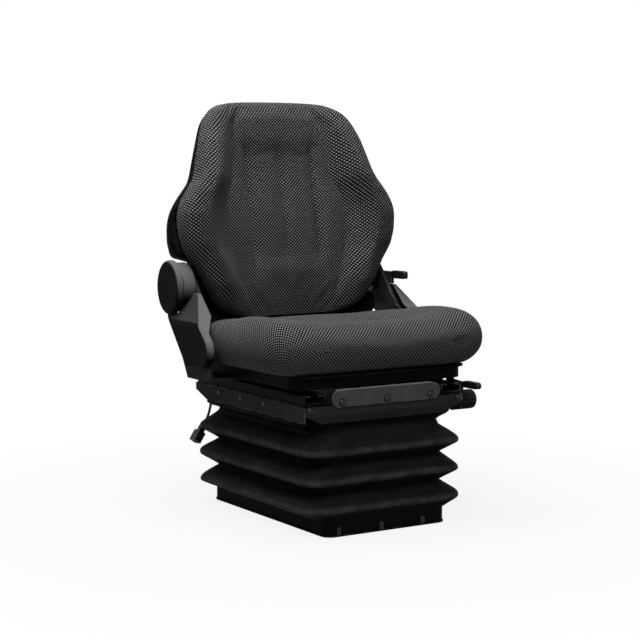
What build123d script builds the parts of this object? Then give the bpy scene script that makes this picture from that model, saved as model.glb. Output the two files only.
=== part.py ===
# Suspension seat for a small tractor: base, bellows, scissor arms, slide rails, seat and reclining back.
# Millimetres, +Z up. The seat faces -Y, and left and right are the sitting person's, so right is -X.
# The origin is the middle of the four mounting holes, on the underside of the base plate.
import os
from math import asin, cos, degrees, pi, radians, sin, tan

from build123d import *

# Base plate
base_width = 262
base_length = 416
base_corner = 20
base_gauge = 3
base_rim = 5
tray_height = 26
mount_spacing_x = 220
mount_spacing_y = 340
mount_hole = 9
clip_width = 9
clip_height = 14
clip_spacing = 90
clip_middle = -15
clip_gauge = 2

# Upper frame, at the top of its travel
frame_width = 340
frame_length = 400
frame_gauge = 3
frame_top = 236
side_depth = 32
panel_crease = 20
panel_drop = 36
panel_lean = 9
panel_end_cut = 40
tab_half = 110
tab_rise = 9
side_cut = 40
window_width = 40
window_length = 150
window_x = 80
rivet_radius = 5
rivet_drop = 12
rivet_pitch = 84
rivet_middle = 24
rivet_taper = 30
bolt_radius = 4
end_bolt_inset = 10
end_bolt_drop = 10
cover_bolt_x = 95
cover_bolt_rise = 1
dome_radius = 7.5
dome_height = 5
dome_taper = 25
cover_half = 116
cover_drop = 7
cover_rise = 23
cover_flange = 14

# Scissor suspension
stroke = 70
arm_length = 330
arm_depth = 24
arm_gauge = 5
arm_gap = 4
inner_arm_x = 78
scissor_front = -130
roller_radius = 10
roller_width = 12
roller_play = 1.8
track_gauge = 2.5
axle_radius = 6
pin_radius = 5
centre_play = 1.6
bracket_gauge = 4
stop_radius = 9
pin_head = 2.5

# Clearances
run_fit = 0.05
side_fit = 0.5
seat_gap = 0.3

# Damper
damper_radius = 16
damper_wall = 3
damper_length = 112
damper_foot = 26
rod_radius = 5.5
piston_height = 10
dust_wall = 1.5
dust_gap = 1
guide_height = 8

# Springs and weight adjuster
spring_x = 45
spring_radius = 14
spring_wire = 2.5
adjuster_y = -165
adjuster_drop = 20.5
shaft_radius = 6
cam_x = 28
cam_width = 8
cam_radius = 11
cam_rise = 5
cam_turn = 150
cam_steps = 6
cam_hub = 8
bearing_gap = 2
yoke_gauge = 5
yoke_depth = 18
yoke_half = 62
knob_radius = 18
knob_length = 46
knob_grips = 10
grip_inset = 2
loop_play = 0.4
coil_margin = 26

# Bellows
lip_width = 338
lip_length = 426
lip_corner = 38
lip_height = 12.5
fold_count = 3
fold_pitch = 51.5
fold_inset_x = 30
fold_inset_y = 22
first_lip = 39.5
fold_under = 10
rubber = 3
lip_bevel = 3
collar_rise = 5
slope_rise = 0.45
slope_reach = 0.35

# Slide rails
rail_spacing = 294
rail_width = 44
rail_height = 16
rail_gauge = 2.5
rail_slot = 18
rail_length = 385
neck_width = 14
neck_rise = 10
rail_setback = 5
shoe_setback = 35

# Seat pan and cushion
pan_width = 364
pan_front = -190
pan_rear = 140
pan_depth = 23
pan_gauge = 2.5
pan_corner = 30
pan_edge = 8
bolt_shank = 4
head_radius = 7.2
head_height = 4
pan_bolt_y = 220
foot_y = 70
foot_pitch = 44
foot_bolt_inset = 10
switch_radius = 24
seat_width = 450
seat_front = -222
seat_rear = 134
seat_thick = 79
bolster_curl = 6

# Side brackets and covers
pivot_y = 160
pivot_z = 421
leg_gap = 4
leg_gauge = 6
foot_lap = 20
toe_spread = 28
toe_radius = 14
knee_rise = 48
knee_radius = 18
pivot_inset = 20
jog_low = 346
jog_high = 374
boss_radius = 38
cover_thick = 14
cover_low = 277
cover_high = 412
cover_margin = 4
cover_toe = 20
cover_knee = 32
disc_thick = 8
disc_radius = 26
housing_radius = 46
housing_length = 24
cap_thick = 12
cap_height = 102
cap_width = 88

# Back
back_tilt = 10
back_top = 352
back_bottom = -66
back_width = 472
back_seam = 10
back_crown = 28
back_bolster = 32
flute_spacing = 73
flute_radius = 4
flute_low = 42
flute_high = 256
shell_low = 58
shell_curl = 2
shell_wall = 3
shell_bulge = 44
ear_gauge = 6
ear_height = 150
ear_depth = 18
eye_radius = 17
tube_radius = 8
tube_wall = 2

# Levers
lever_gauge = 6
recline_reach = 104
recline_step = 0.6
lever_lift = 6
lever_blade = 10
lever_root = 8
grip_wall = 2.5
slide_lever_length = 88
slide_pin_y = -150
slide_pin_rise = 14
slide_pin_radius = 3
slide_eye = 7
slide_gap = 4
slide_blade = 6
slide_lug = 14
slide_lug_front = 40
slide_lug_rear = 22
slide_grip_length = 44
hanger_width = 14
hanger_gauge = 2.5

# Lead at the rear right corner
lead_diameter = 5
lead_x = -116
lead_drop = 20
lead_out = 7
grommet_radius = 7
grommet_wall = 2
grommet_taper = 12
connector_length = 34
connector_width = 21
connector_height = 13
connector_neck = 0.35
connector_flare = 4
connector_wall = 2

# Worked out from the sizes above
os.makedirs("parts", exist_ok=True)
tray_width = base_width - 2 * base_rim
tray_length = base_length - 2 * base_rim
frame_under = frame_top - frame_gauge
side_low = frame_top - side_depth
track_inner = 2 * (roller_radius + roller_play)
track_outer = track_inner + 2 * track_gauge
lower_z = base_gauge + track_outer / 2
upper_z = frame_under - track_outer / 2
rise = upper_z - lower_z
arm_angle = degrees(asin(rise / arm_length))
low_angle = degrees(asin((rise - stroke) / arm_length))
scissor_rear = scissor_front + arm_length * cos(radians(arm_angle))
scissor_reach = scissor_front + arm_length * cos(radians(low_angle))
scissor_mid = (scissor_front + scissor_rear) / 2
middle_z = (lower_z + upper_z) / 2
outer_arm_x = inner_arm_x + arm_gauge + arm_gap
adjuster_z = frame_top - adjuster_drop
lead_z = frame_top - lead_drop
rail_top = frame_top + rail_height
pan_bottom = rail_top + neck_rise
pan_top = pan_bottom + pan_depth
seat_bottom = pan_top + seat_gap
leg_x = seat_width / 2 + leg_gap
pivot_x = leg_x - pivot_inset
ear_x = pivot_x - disc_thick - seat_gap - ear_gauge


def save(piece, name):
    piece.part.label = name
    export_step(piece.part, f"parts/{name}.step")


def along_y(y):
    # Plane across the seat at y: its local axes are X and Z
    return Plane.XZ.offset(-y)


def back_plane(height):
    # Plane square to the back at a height above the pivot: its local axes are X and rearwards
    lean = radians(back_tilt)
    origin = (0, pivot_y + height * sin(lean), pivot_z + height * cos(lean))
    return Plane(origin, x_dir=(1, 0, 0), z_dir=(0, sin(lean), cos(lean)))


def side_plane(x):
    # Plane along the back's side at x: its local axes are rearwards and up the back, from the pivot
    lean = radians(back_tilt)
    return Plane((x, pivot_y, pivot_z), x_dir=(0, cos(lean), -sin(lean)), z_dir=(1, 0, 0))


def hull_of(circles):
    # Outline pulled tight round circles, each given by its middle and radius
    make_hull([Edge.make_circle(radius, Plane((across, up, 0))) for across, up, radius in circles])


# Base plate: pressed tray with a flat rim and four mounting holes
with BuildPart() as base_plate:
    with BuildSketch():
        RectangleRounded(base_width, base_length, base_corner)
    extrude(amount=base_gauge)
    with BuildSketch(Plane.XY.offset(base_gauge)):
        RectangleRounded(tray_width, tray_length, base_corner - base_rim)
        offset(amount=-base_gauge, mode=Mode.SUBTRACT)
    extrude(amount=tray_height - base_gauge)
    with GridLocations(mount_spacing_x, mount_spacing_y, 2, 2):
        Hole(mount_hole / 2)
save(base_plate, "base_plate")

# Lower roller tracks: channels on the base, open towards the middle
lower_track_x = inner_arm_x + arm_gauge + side_fit
track_depth = roller_width + 2 * side_fit
track_front = scissor_rear - 2 * roller_radius
track_rear = scissor_reach + roller_radius + side_fit
with BuildPart() as lower_tracks:
    with BuildSketch(along_y(track_front)):
        with Locations((lower_track_x + (track_depth + track_gauge) / 2, lower_z)):
            Rectangle(track_depth + track_gauge, track_outer)
        with Locations((lower_track_x + track_depth / 2, lower_z)):
            Rectangle(track_depth, track_inner, mode=Mode.SUBTRACT)
    extrude(amount=track_front - track_rear)
    mirror(about=Plane.YZ)
save(lower_tracks, "lower_tracks")

# Upper roller tracks: the same channel under the frame's top plate
upper_track_x = outer_arm_x + arm_gauge + side_fit
with BuildPart() as upper_tracks:
    with BuildSketch(along_y(track_front)):
        with Locations((upper_track_x + (track_depth + track_gauge) / 2, upper_z)):
            Rectangle(track_depth + track_gauge, track_outer)
        with Locations((upper_track_x + track_depth / 2, upper_z)):
            Rectangle(track_depth, track_inner, mode=Mode.SUBTRACT)
    extrude(amount=track_front - track_rear)
    mirror(about=Plane.YZ)
save(upper_tracks, "upper_tracks")

# Pivots: lugs with welded pins outside the arms' front ends, on the base and under the frame
lug_width = 2 * arm_depth
lower_lug_x = outer_arm_x + arm_gauge + side_fit
upper_lug_x = inner_arm_x + arm_gauge + side_fit
bearing_x = yoke_half + yoke_gauge + bearing_gap
with BuildPart() as lower_lugs:
    with BuildSketch(Plane.YZ.offset(lower_lug_x)):
        with BuildLine():
            Polyline((scissor_front - lug_width / 2, base_gauge),
                     (scissor_front + lug_width / 2, base_gauge),
                     (scissor_front + arm_depth / 2, lower_z + arm_depth / 2),
                     (scissor_front - arm_depth / 2, lower_z + arm_depth / 2), close=True)
        make_face()
        with Locations((scissor_front, lower_z)):
            Circle(pin_radius + run_fit, mode=Mode.SUBTRACT)
    extrude(amount=bracket_gauge)
    with BuildSketch(Plane.YZ.offset(outer_arm_x)):
        with Locations((scissor_front, lower_z)):
            Circle(pin_radius)
    extrude(amount=arm_gauge + 2 * side_fit + bracket_gauge)
    mirror(about=Plane.YZ)
save(lower_lugs, "lower_pivots")
with BuildPart() as upper_lugs:
    with BuildSketch(Plane.YZ.offset(upper_lug_x)):
        with BuildLine():
            Polyline((scissor_front - lug_width / 2, frame_under),
                     (scissor_front + lug_width / 2, frame_under),
                     (scissor_front + arm_depth / 2, upper_z - arm_depth / 2),
                     (scissor_front - arm_depth / 2, upper_z - arm_depth / 2), close=True)
        make_face()
        with Locations((scissor_front, upper_z)):
            Circle(pin_radius + run_fit, mode=Mode.SUBTRACT)
    extrude(amount=bracket_gauge)
    with BuildSketch(Plane.YZ.offset(inner_arm_x)):
        with Locations((scissor_front, upper_z)):
            Circle(pin_radius)
    extrude(amount=arm_gauge + 2 * side_fit + bracket_gauge)
    mirror(about=Plane.YZ)
    with BuildSketch(Plane.YZ.offset(-bearing_x - bracket_gauge)):
        with Locations((adjuster_y, (frame_under + adjuster_z) / 2 - shaft_radius)):
            Rectangle(4 * shaft_radius, frame_under - adjuster_z + 2 * shaft_radius)
        with Locations((adjuster_y, adjuster_z)):
            Circle(shaft_radius + run_fit, mode=Mode.SUBTRACT)
    extrude(amount=bracket_gauge)
save(upper_lugs, "upper_pivots")

# Scissor arms: flat bars with an eye at each end and one in the middle
for name, first_x, slope, mid_hole in (("outer_arms", outer_arm_x, arm_angle, axle_radius),
                                       ("inner_arms", inner_arm_x, -arm_angle, axle_radius + centre_play)):
    front_z = lower_z if slope > 0 else upper_z
    rear_z = upper_z if slope > 0 else lower_z
    with BuildPart() as arms:
        with BuildSketch(Plane.YZ.offset(first_x)):
            with Locations((scissor_mid, middle_z)):
                SlotCenterToCenter(arm_length, arm_depth, rotation=slope)
                Circle(mid_hole + run_fit, mode=Mode.SUBTRACT)
            with Locations((scissor_front, front_z)):
                Circle(pin_radius + run_fit, mode=Mode.SUBTRACT)
            with Locations((scissor_rear, rear_z)):
                Circle(axle_radius + run_fit, mode=Mode.SUBTRACT)
        extrude(amount=arm_gauge)
        mirror(about=Plane.YZ)
    save(arms, name)

# Centre pins: held in the outer arms, with a head inside the inner arms
with BuildPart() as centre_pins:
    with BuildSketch(Plane.YZ.offset(inner_arm_x - side_fit)):
        with Locations((scissor_mid, middle_z)):
            Circle(axle_radius)
    extrude(amount=side_fit + 2 * arm_gauge + arm_gap)
    with BuildSketch(Plane.YZ.offset(inner_arm_x - side_fit)):
        with Locations((scissor_mid, middle_z)):
            Circle(axle_radius + 2 * centre_play)
    extrude(amount=-pin_head)
    mirror(about=Plane.YZ)
save(centre_pins, "centre_pins")

# Axles across the arms' rear ends, and a roller on each end
for name, track_x, height in (("upper", upper_track_x, upper_z), ("lower", lower_track_x, lower_z)):
    with BuildPart() as axle:
        with BuildSketch(Plane.YZ):
            with Locations((scissor_rear, height)):
                Circle(axle_radius)
        extrude(amount=track_x + track_depth - side_fit, both=True)
    save(axle, f"{name}_axle")
    with BuildPart() as rollers:
        with BuildSketch(Plane.YZ.offset(track_x + side_fit)):
            with Locations((scissor_rear, height)):
                Circle(roller_radius)
                Circle(axle_radius + run_fit, mode=Mode.SUBTRACT)
        extrude(amount=roller_width)
        mirror(about=Plane.YZ)
    save(rollers, f"{name}_rollers")

# Bump stops: rubber cones that meet the outer arms at the bottom of the travel
stop_y = scissor_front + arm_length / 4
low_slope = radians(low_angle)
stop_run = stop_y - stop_radius - scissor_front
stop_arm = lower_z + stop_run * tan(low_slope) - arm_depth / 2 / cos(low_slope)
stop_height = stop_arm - base_gauge - 2 * side_fit
with BuildPart() as bump_stops:
    with Locations((outer_arm_x + arm_gauge / 2, stop_y, base_gauge)):
        Cone(stop_radius, stop_radius / 2, stop_height, align=(Align.CENTER, Align.CENTER, Align.MIN))
    mirror(about=Plane.YZ)
save(bump_stops, "bump_stops")

# Damper: tube standing on a foot on the base, rod and dust tube hung from the frame
dust_radius = damper_radius + dust_gap
tube_top = base_gauge + damper_foot + damper_length
with BuildPart() as damper_foot_block:
    with BuildSketch(Plane.XY.offset(base_gauge)):
        RectangleRounded(3 * damper_radius, 3 * damper_radius, damper_radius / 2)
    extrude(amount=base_gauge)
    with BuildSketch(Plane.XY.offset(2 * base_gauge)):
        Circle(damper_radius / 2)
    extrude(amount=damper_foot - base_gauge)
save(damper_foot_block, "damper_foot")
with BuildPart() as damper_tube:
    with BuildSketch(Plane.XY.offset(base_gauge + damper_foot)):
        Circle(damper_radius)
    extrude(amount=damper_length)
    with BuildSketch(Plane.XY.offset(base_gauge + damper_foot + damper_wall)):
        Circle(damper_radius - damper_wall)
    extrude(amount=damper_length - damper_wall - guide_height, mode=Mode.SUBTRACT)
    with BuildSketch(Plane.XY.offset(tube_top)):
        Circle(rod_radius + run_fit)
    extrude(amount=-guide_height, mode=Mode.SUBTRACT)
save(damper_tube, "damper_tube")
piston_low = tube_top - guide_height - piston_height - 2 * side_fit
with BuildPart() as damper_rod:
    with BuildSketch(Plane.XY.offset(piston_low)):
        Circle(damper_radius - damper_wall - run_fit)
    extrude(amount=piston_height)
    with BuildSketch(Plane.XY.offset(piston_low)):
        Circle(rod_radius)
    extrude(amount=frame_under - piston_low)
save(damper_rod, "damper_rod")
with BuildPart() as dust_tube:
    with BuildSketch(Plane.XY.offset(frame_under)):
        Circle(dust_radius + dust_wall)
    extrude(amount=tube_top - guide_height - frame_under)
    with BuildSketch(Plane.XY.offset(frame_under - dust_wall)):
        Circle(dust_radius)
    extrude(amount=tube_top - 2 * guide_height - frame_under, mode=Mode.SUBTRACT)
    with BuildSketch(Plane.XY.offset(frame_under)):
        Circle(rod_radius + run_fit)
    extrude(amount=-dust_wall, mode=Mode.SUBTRACT)
save(dust_tube, "damper_dust_tube")

# Bellows: three rubber folds from the base skirt to a collar under the upper frame
skirt_half_x = tray_width / 2 + seat_gap + rubber
skirt_half_y = tray_length / 2 + seat_gap + rubber
lip_x = lip_width / 2
lip_y = lip_length / 2
valley_x = lip_x - fold_inset_x
valley_y = lip_y - fold_inset_y
collar_y = frame_length / 2 - panel_lean - frame_gauge - 2 * rubber
folds = [(skirt_half_x, skirt_half_y, base_gauge + seat_gap),
         (skirt_half_x, skirt_half_y, first_lip - fold_under)]
for fold in range(fold_count):
    low = first_lip + fold * fold_pitch
    next_valley = low + fold_pitch - fold_under
    folds.append((lip_x - lip_bevel, lip_y - lip_bevel, low))
    folds.append((lip_x, lip_y, low + lip_bevel))
    folds.append((lip_x, lip_y, low + lip_height - lip_bevel))
    folds.append((lip_x - 2 * lip_bevel, lip_y - 2 * lip_bevel, low + lip_height))
    folds.append((valley_x + slope_reach * fold_inset_x, valley_y + slope_reach * fold_inset_y,
                  low + lip_height + slope_rise * (next_valley - low - lip_height)))
    folds.append((valley_x, valley_y, next_valley))
folds.append((valley_x, collar_y - rubber, side_low - seat_gap - 2 * collar_rise))
folds.append((frame_width / 2, collar_y, side_low - seat_gap - collar_rise))
folds.append((frame_width / 2, collar_y, side_low - seat_gap))
corner = lip_corner - lip_bevel
with BuildPart() as bellows:
    for half_x, half_y, height in folds:
        with BuildSketch(Plane.XY.offset(height)):
            round_corner = base_corner - base_rim + rubber if half_x == skirt_half_x else corner
            RectangleRounded(2 * half_x, 2 * half_y, round_corner)
    loft(ruled=True)
    for half_x, half_y, height in folds:
        with BuildSketch(Plane.XY.offset(height)):
            round_corner = base_corner - base_rim + rubber if half_x == skirt_half_x else corner
            RectangleRounded(2 * (half_x - rubber), 2 * (half_y - rubber), round_corner - rubber)
    loft(ruled=True, mode=Mode.SUBTRACT)
save(bellows, "bellows")

# Clips: three spring clips on the front of the skirt
with BuildPart() as clips:
    with BuildSketch(along_y(-skirt_half_y - seat_gap)):
        with Locations((clip_middle, base_gauge + clip_height / 2)):
            with GridLocations(clip_spacing, 0, 3, 1):
                RectangleRounded(clip_width, clip_height, clip_gauge)
    extrude(amount=clip_gauge)
save(clips, "skirt_clips")

# Upper frame: top plate with two long windows
with BuildPart() as frame_plate:
    with BuildSketch(Plane.XY.offset(frame_under)):
        with Locations((0, frame_gauge / 2)):
            RectangleRounded(frame_width, frame_length - frame_gauge, base_corner / 2)
        with Locations((-window_x, 0), (window_x, 0)):
            SlotOverall(window_length, window_width, rotation=90, mode=Mode.SUBTRACT)
    extrude(amount=frame_gauge)
save(frame_plate, "frame_top_plate")

# Side plates: hang from the top plate, cut back at the lower rear corner, with holes for the rivets
side_height = side_depth - frame_gauge
side_half = frame_length / 2 - frame_gauge
for side, start in (("left", frame_width / 2 - frame_gauge), ("right", -frame_width / 2)):
    with BuildPart() as side_plate:
        with BuildSketch(Plane.YZ.offset(start)):
            with BuildLine():
                Polyline((-side_half, frame_under), (side_half, frame_under),
                         (side_half, side_low + side_height / 2), (side_half - side_cut, side_low),
                         (-side_half, side_low), close=True)
            make_face()
            with Locations((rivet_middle, frame_top - rivet_drop)):
                with GridLocations(rivet_pitch, 0, 3, 1):
                    Circle(rivet_radius / 2 + run_fit, mode=Mode.SUBTRACT)
            if side == "left":
                with Locations((adjuster_y, adjuster_z)):
                    Circle(shaft_radius + run_fit, mode=Mode.SUBTRACT)
        extrude(amount=frame_gauge)
    save(side_plate, f"frame_side_{side}")

# Side rivets: domed heads outside, shanks through the plates
with BuildPart() as rivets:
    for radius, start, length, slant in ((rivet_radius / 2, frame_width / 2 - frame_gauge, frame_gauge, 0),
                                         (rivet_radius, frame_width / 2, rivet_radius / 2, rivet_taper)):
        with BuildSketch(Plane.YZ.offset(start)):
            with Locations((rivet_middle, frame_top - rivet_drop)):
                with GridLocations(rivet_pitch, 0, 3, 1):
                    Circle(radius)
        extrude(amount=length, taper=slant)
    mirror(about=Plane.YZ)
save(rivets, "side_rivets")

# Rear plate: closes the frame and carries the lead's grommet
with BuildPart() as rear_plate:
    with BuildSketch(along_y(frame_length / 2)):
        with Locations((0, frame_under - side_height / 4)):
            Rectangle(frame_width, side_height / 2)
        with Locations((lead_x, lead_z)):
            Circle(2 * grommet_radius)
            Circle(grommet_radius - grommet_wall + run_fit, mode=Mode.SUBTRACT)
    extrude(amount=frame_gauge)
save(rear_plate, "frame_rear_plate")

# Front panel: folded at the crease, with cut ends below it and a raised middle for the cover plate
front_y = -frame_length / 2
crease_z = frame_top - panel_crease
panel_low = frame_top - panel_drop
tab_top = frame_top + tab_rise
panel_inside = frame_width / 2 - frame_gauge - side_fit
end_bolt_x = frame_width / 2 - end_bolt_inset
end_bolt_z = frame_top - end_bolt_drop
cover_bolt_z = frame_top + cover_bolt_rise
with BuildPart() as front_panel:
    with BuildSketch(Plane.YZ):
        with BuildLine():
            Polyline((front_y, tab_top), (front_y, crease_z), (front_y + panel_lean, panel_low),
                     (front_y + panel_lean + frame_gauge, panel_low), (front_y + frame_gauge, crease_z),
                     (front_y + frame_gauge, tab_top), close=True)
        make_face()
    extrude(amount=frame_width / 2, both=True)
    with BuildSketch(along_y(front_y)):
        with BuildLine():
            Polyline((-frame_width / 2, crease_z), (-panel_inside, crease_z),
                     (-frame_width / 2 + panel_end_cut, panel_low),
                     (frame_width / 2 - panel_end_cut, panel_low),
                     (panel_inside, crease_z), (frame_width / 2, crease_z), (frame_width / 2, frame_under),
                     (tab_half, frame_under), (tab_half, tab_top), (-tab_half, tab_top),
                     (-tab_half, frame_under), (-frame_width / 2, frame_under), close=True)
        make_face()
    extrude(amount=2 * panel_lean, both=True, mode=Mode.INTERSECT)
    with BuildSketch(along_y(front_y)):
        with Locations((-end_bolt_x, end_bolt_z), (end_bolt_x, end_bolt_z)):
            Circle(bolt_radius + run_fit)
        with Locations((0, cover_bolt_z)):
            with GridLocations(cover_bolt_x, 0, 3, 1):
                Circle(bolt_radius + run_fit)
    extrude(amount=-frame_gauge, mode=Mode.SUBTRACT)
save(front_panel, "front_panel")

# Cover plate: in front of the panel, with its top edge bent back over the slide
with BuildPart() as cover_plate:
    with BuildSketch(along_y(front_y)):
        with Locations((0, frame_top + (cover_rise - cover_drop) / 2)):
            RectangleRounded(2 * cover_half, cover_rise + cover_drop, 2 * cover_drop)
        with Locations((0, cover_bolt_z)):
            with GridLocations(cover_bolt_x, 0, 3, 1):
                Circle(bolt_radius + run_fit, mode=Mode.SUBTRACT)
    extrude(amount=frame_gauge)
    with BuildSketch(Plane.XY.offset(frame_top + cover_rise)):
        with Locations((0, front_y - frame_gauge + cover_flange / 2)):
            Rectangle(2 * (cover_half - 2 * cover_drop), cover_flange)
    extrude(amount=-frame_gauge)
save(cover_plate, "front_cover_plate")

# Dome bolts: three hold the cover plate, two hold the panel's ends
cover_places = [(place * cover_bolt_x, cover_bolt_z) for place in (-1, 0, 1)]
panel_places = [(place * end_bolt_x, end_bolt_z) for place in (-1, 1)]
with BuildPart() as front_bolts:
    for face_y, places in ((front_y - frame_gauge, cover_places), (front_y, panel_places)):
        with BuildSketch(along_y(face_y)):
            with Locations(*places):
                Circle(bolt_radius)
        extrude(amount=face_y - front_y - frame_gauge)
        with BuildSketch(along_y(face_y)):
            with Locations(*places):
                Circle(dome_radius)
        extrude(amount=dome_height, taper=dome_taper)
save(front_bolts, "front_bolts")

# Slide rails: lower channels with inturned lips on the frame, upper rails that run in them
rail_front = front_y + rail_setback
for side, sign in (("left", 1), ("right", -1)):
    middle = sign * rail_spacing / 2
    with BuildPart() as lower_rail:
        with BuildSketch(along_y(rail_front)):
            with Locations((middle, frame_top + rail_height / 2)):
                Rectangle(rail_width, rail_height)
                Rectangle(rail_width - 2 * rail_gauge, rail_height - 2 * rail_gauge, mode=Mode.SUBTRACT)
            with Locations((middle, rail_top)):
                Rectangle(rail_slot, 3 * rail_gauge, mode=Mode.SUBTRACT)
        extrude(amount=-rail_length)
    save(lower_rail, f"lower_rail_{side}")
    shoe_width = rail_width - 2 * rail_gauge - 2 * side_fit
    shoe_height = rail_height - 2 * rail_gauge - 2 * side_fit
    with BuildPart() as upper_rail:
        with BuildSketch(along_y(rail_front + shoe_setback)):
            with Locations((middle, frame_top + rail_height / 2)):
                Rectangle(shoe_width, shoe_height)
                Rectangle(shoe_width - 2 * rail_gauge, shoe_height - 2 * rail_gauge, mode=Mode.SUBTRACT)
            with Locations((middle, (rail_top - 2 * rail_gauge - side_fit + pan_bottom) / 2)):
                Rectangle(neck_width, pan_bottom - rail_top + 2 * rail_gauge + side_fit)
        extrude(amount=-(pan_rear - rail_front - shoe_setback))
    save(upper_rail, f"upper_rail_{side}")

# Weight adjuster: shaft with two snail cams, knob on the left end
with BuildPart() as shaft:
    with BuildSketch(Plane.YZ.offset(-bearing_x - bracket_gauge)):
        with Locations((adjuster_y, adjuster_z)):
            Circle(shaft_radius)
    extrude(amount=bearing_x + bracket_gauge + frame_width / 2 + knob_length / 2)
    for cam_start in (-cam_x - cam_width / 2, cam_x - cam_width / 2):
        with BuildSketch(Plane.YZ.offset(cam_start)):
            with BuildLine():
                spiral = []
                for step in range(cam_steps + 1):
                    turn = radians(180 - cam_turn * step / cam_steps)
                    radius = cam_radius + cam_rise * step / cam_steps
                    spiral.append((adjuster_y + radius * cos(turn), adjuster_z + radius * sin(turn)))
                Spline(*spiral)
                Polyline(spiral[-1], (adjuster_y + cam_hub, adjuster_z - cam_hub),
                         (adjuster_y - cam_hub, adjuster_z - cam_hub), spiral[0])
            make_face()
        extrude(amount=cam_width)
save(shaft, "adjuster_shaft")
with BuildPart() as knob:
    with BuildSketch(Plane.YZ.offset(frame_width / 2 + side_fit)):
        with Locations((adjuster_y, adjuster_z)):
            Circle(knob_radius)
    extrude(amount=knob_length)
    fillet(knob.faces().sort_by(Axis.X)[-1].edges(), knob_radius / 6)
    with BuildSketch(Plane.YZ.offset(frame_width / 2 + side_fit + knob_length / 4)):
        with Locations((adjuster_y, adjuster_z)):
            with PolarLocations(knob_radius + grip_inset, knob_grips):
                Circle(knob_radius / 5)
    extrude(amount=knob_length, mode=Mode.SUBTRACT)
    with BuildSketch(Plane.YZ.offset(frame_width / 2)):
        with Locations((adjuster_y, adjuster_z)):
            Circle(shaft_radius + run_fit)
    extrude(amount=knob_length / 2 + side_fit, mode=Mode.SUBTRACT)
save(knob, "weight_knob")

# Tension yoke: front bar before the cams, slotted straps along the shaft, rear rod for the springs
bar_rear = adjuster_y - cam_radius - seat_gap
yoke_rod_y = scissor_front - arm_depth / 2
yoke_rear = yoke_rod_y + 2 * pin_radius
with BuildPart() as yoke:
    with BuildSketch(Plane.XY.offset(adjuster_z - yoke_depth / 2)):
        with Locations((0, bar_rear - yoke_gauge / 2)):
            Rectangle(2 * (yoke_half + yoke_gauge), yoke_gauge)
        with Locations((yoke_half + yoke_gauge / 2, (bar_rear + yoke_rear) / 2),
                       (-yoke_half - yoke_gauge / 2, (bar_rear + yoke_rear) / 2)):
            Rectangle(yoke_gauge, yoke_rear - bar_rear)
    extrude(amount=yoke_depth)
    with BuildSketch(Plane.YZ):
        with Locations((adjuster_y + cam_rise / 2, adjuster_z)):
            SlotOverall(2 * shaft_radius + cam_rise + 2 * side_fit, 2 * (shaft_radius + side_fit))
    extrude(amount=2 * yoke_half, both=True, mode=Mode.SUBTRACT)
    with BuildSketch(Plane.YZ):
        with Locations((yoke_rod_y, upper_z)):
            Circle(pin_radius)
    extrude(amount=yoke_half, both=True)
save(yoke, "tension_yoke")

# Springs: close-wound coils as tubes, with a loop round the yoke's rod and one round the upper axle
with BuildPart() as springs:
    with BuildSketch(along_y(yoke_rod_y + coil_margin)):
        with Locations((spring_x, upper_z)):
            Circle(spring_radius)
    extrude(amount=-(scissor_rear - yoke_rod_y - 2 * coil_margin))
    for loop_y, hole, toward in ((yoke_rod_y, pin_radius, 1), (scissor_rear, axle_radius, -1)):
        loop_radius = hole + loop_play + spring_wire
        with Locations((spring_x, loop_y, upper_z)):
            Torus(loop_radius, spring_wire, rotation=(0, 90, 0))
        with BuildSketch(along_y(loop_y + toward * (loop_radius + spring_wire / 2))):
            with Locations((spring_x, upper_z)):
                Circle(spring_wire)
        extrude(amount=-toward * (coil_margin - loop_radius))
    mirror(about=Plane.YZ)
save(springs, "springs")

# Seat pan: tray on the upper rails with a turned-out edge under the cushion
pan_length = pan_rear - pan_front
pan_middle = (pan_front + pan_rear) / 2
foot_bolt_x = pan_width / 2 - foot_bolt_inset
with BuildPart() as pan:
    with BuildSketch(Plane.XY.offset(pan_bottom)):
        with Locations((0, pan_middle)):
            RectangleRounded(pan_width, pan_length, pan_corner)
    extrude(amount=pan_depth)
    with BuildSketch(Plane.XY.offset(pan_top - pan_gauge)):
        with Locations((0, pan_middle)):
            RectangleRounded(pan_width + 2 * pan_edge, pan_length + 2 * pan_edge, pan_corner + pan_edge)
    extrude(amount=pan_gauge)
    with BuildSketch(Plane.XY.offset(pan_bottom + pan_gauge)):
        with Locations((0, pan_middle)):
            RectangleRounded(pan_width - 2 * pan_gauge, pan_length - 2 * pan_gauge, pan_corner - pan_gauge)
    extrude(amount=pan_depth, mode=Mode.SUBTRACT)
    with BuildSketch(Plane.XY.offset(pan_bottom)):
        with Locations((0, pan_middle)):
            with GridLocations(rail_spacing, pan_bolt_y, 2, 2):
                Circle(bolt_shank + run_fit)
        with Locations((0, foot_y)):
            with GridLocations(2 * foot_bolt_x, foot_pitch, 2, 2):
                Circle(bolt_shank + run_fit)
    extrude(amount=pan_gauge, mode=Mode.SUBTRACT)
save(pan, "seat_pan")

# Pan bolts: hold the pan on the rails and on the side brackets' feet
with BuildPart() as pan_bolts:
    with BuildSketch(Plane.XY.offset(pan_bottom)):
        with Locations((0, pan_middle)):
            with GridLocations(rail_spacing, pan_bolt_y, 2, 2):
                Circle(bolt_shank)
        with Locations((0, foot_y)):
            with GridLocations(2 * foot_bolt_x, foot_pitch, 2, 2):
                Circle(bolt_shank)
    extrude(amount=pan_gauge)
    with BuildSketch(Plane.XY.offset(pan_bottom + pan_gauge)):
        with Locations((0, pan_middle)):
            with GridLocations(rail_spacing, pan_bolt_y, 2, 2):
                RegularPolygon(head_radius, 6)
        with Locations((0, foot_y)):
            with GridLocations(2 * foot_bolt_x, foot_pitch, 2, 2):
                RegularPolygon(head_radius, 6)
    extrude(amount=head_height)
save(pan_bolts, "pan_bolts")

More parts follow.
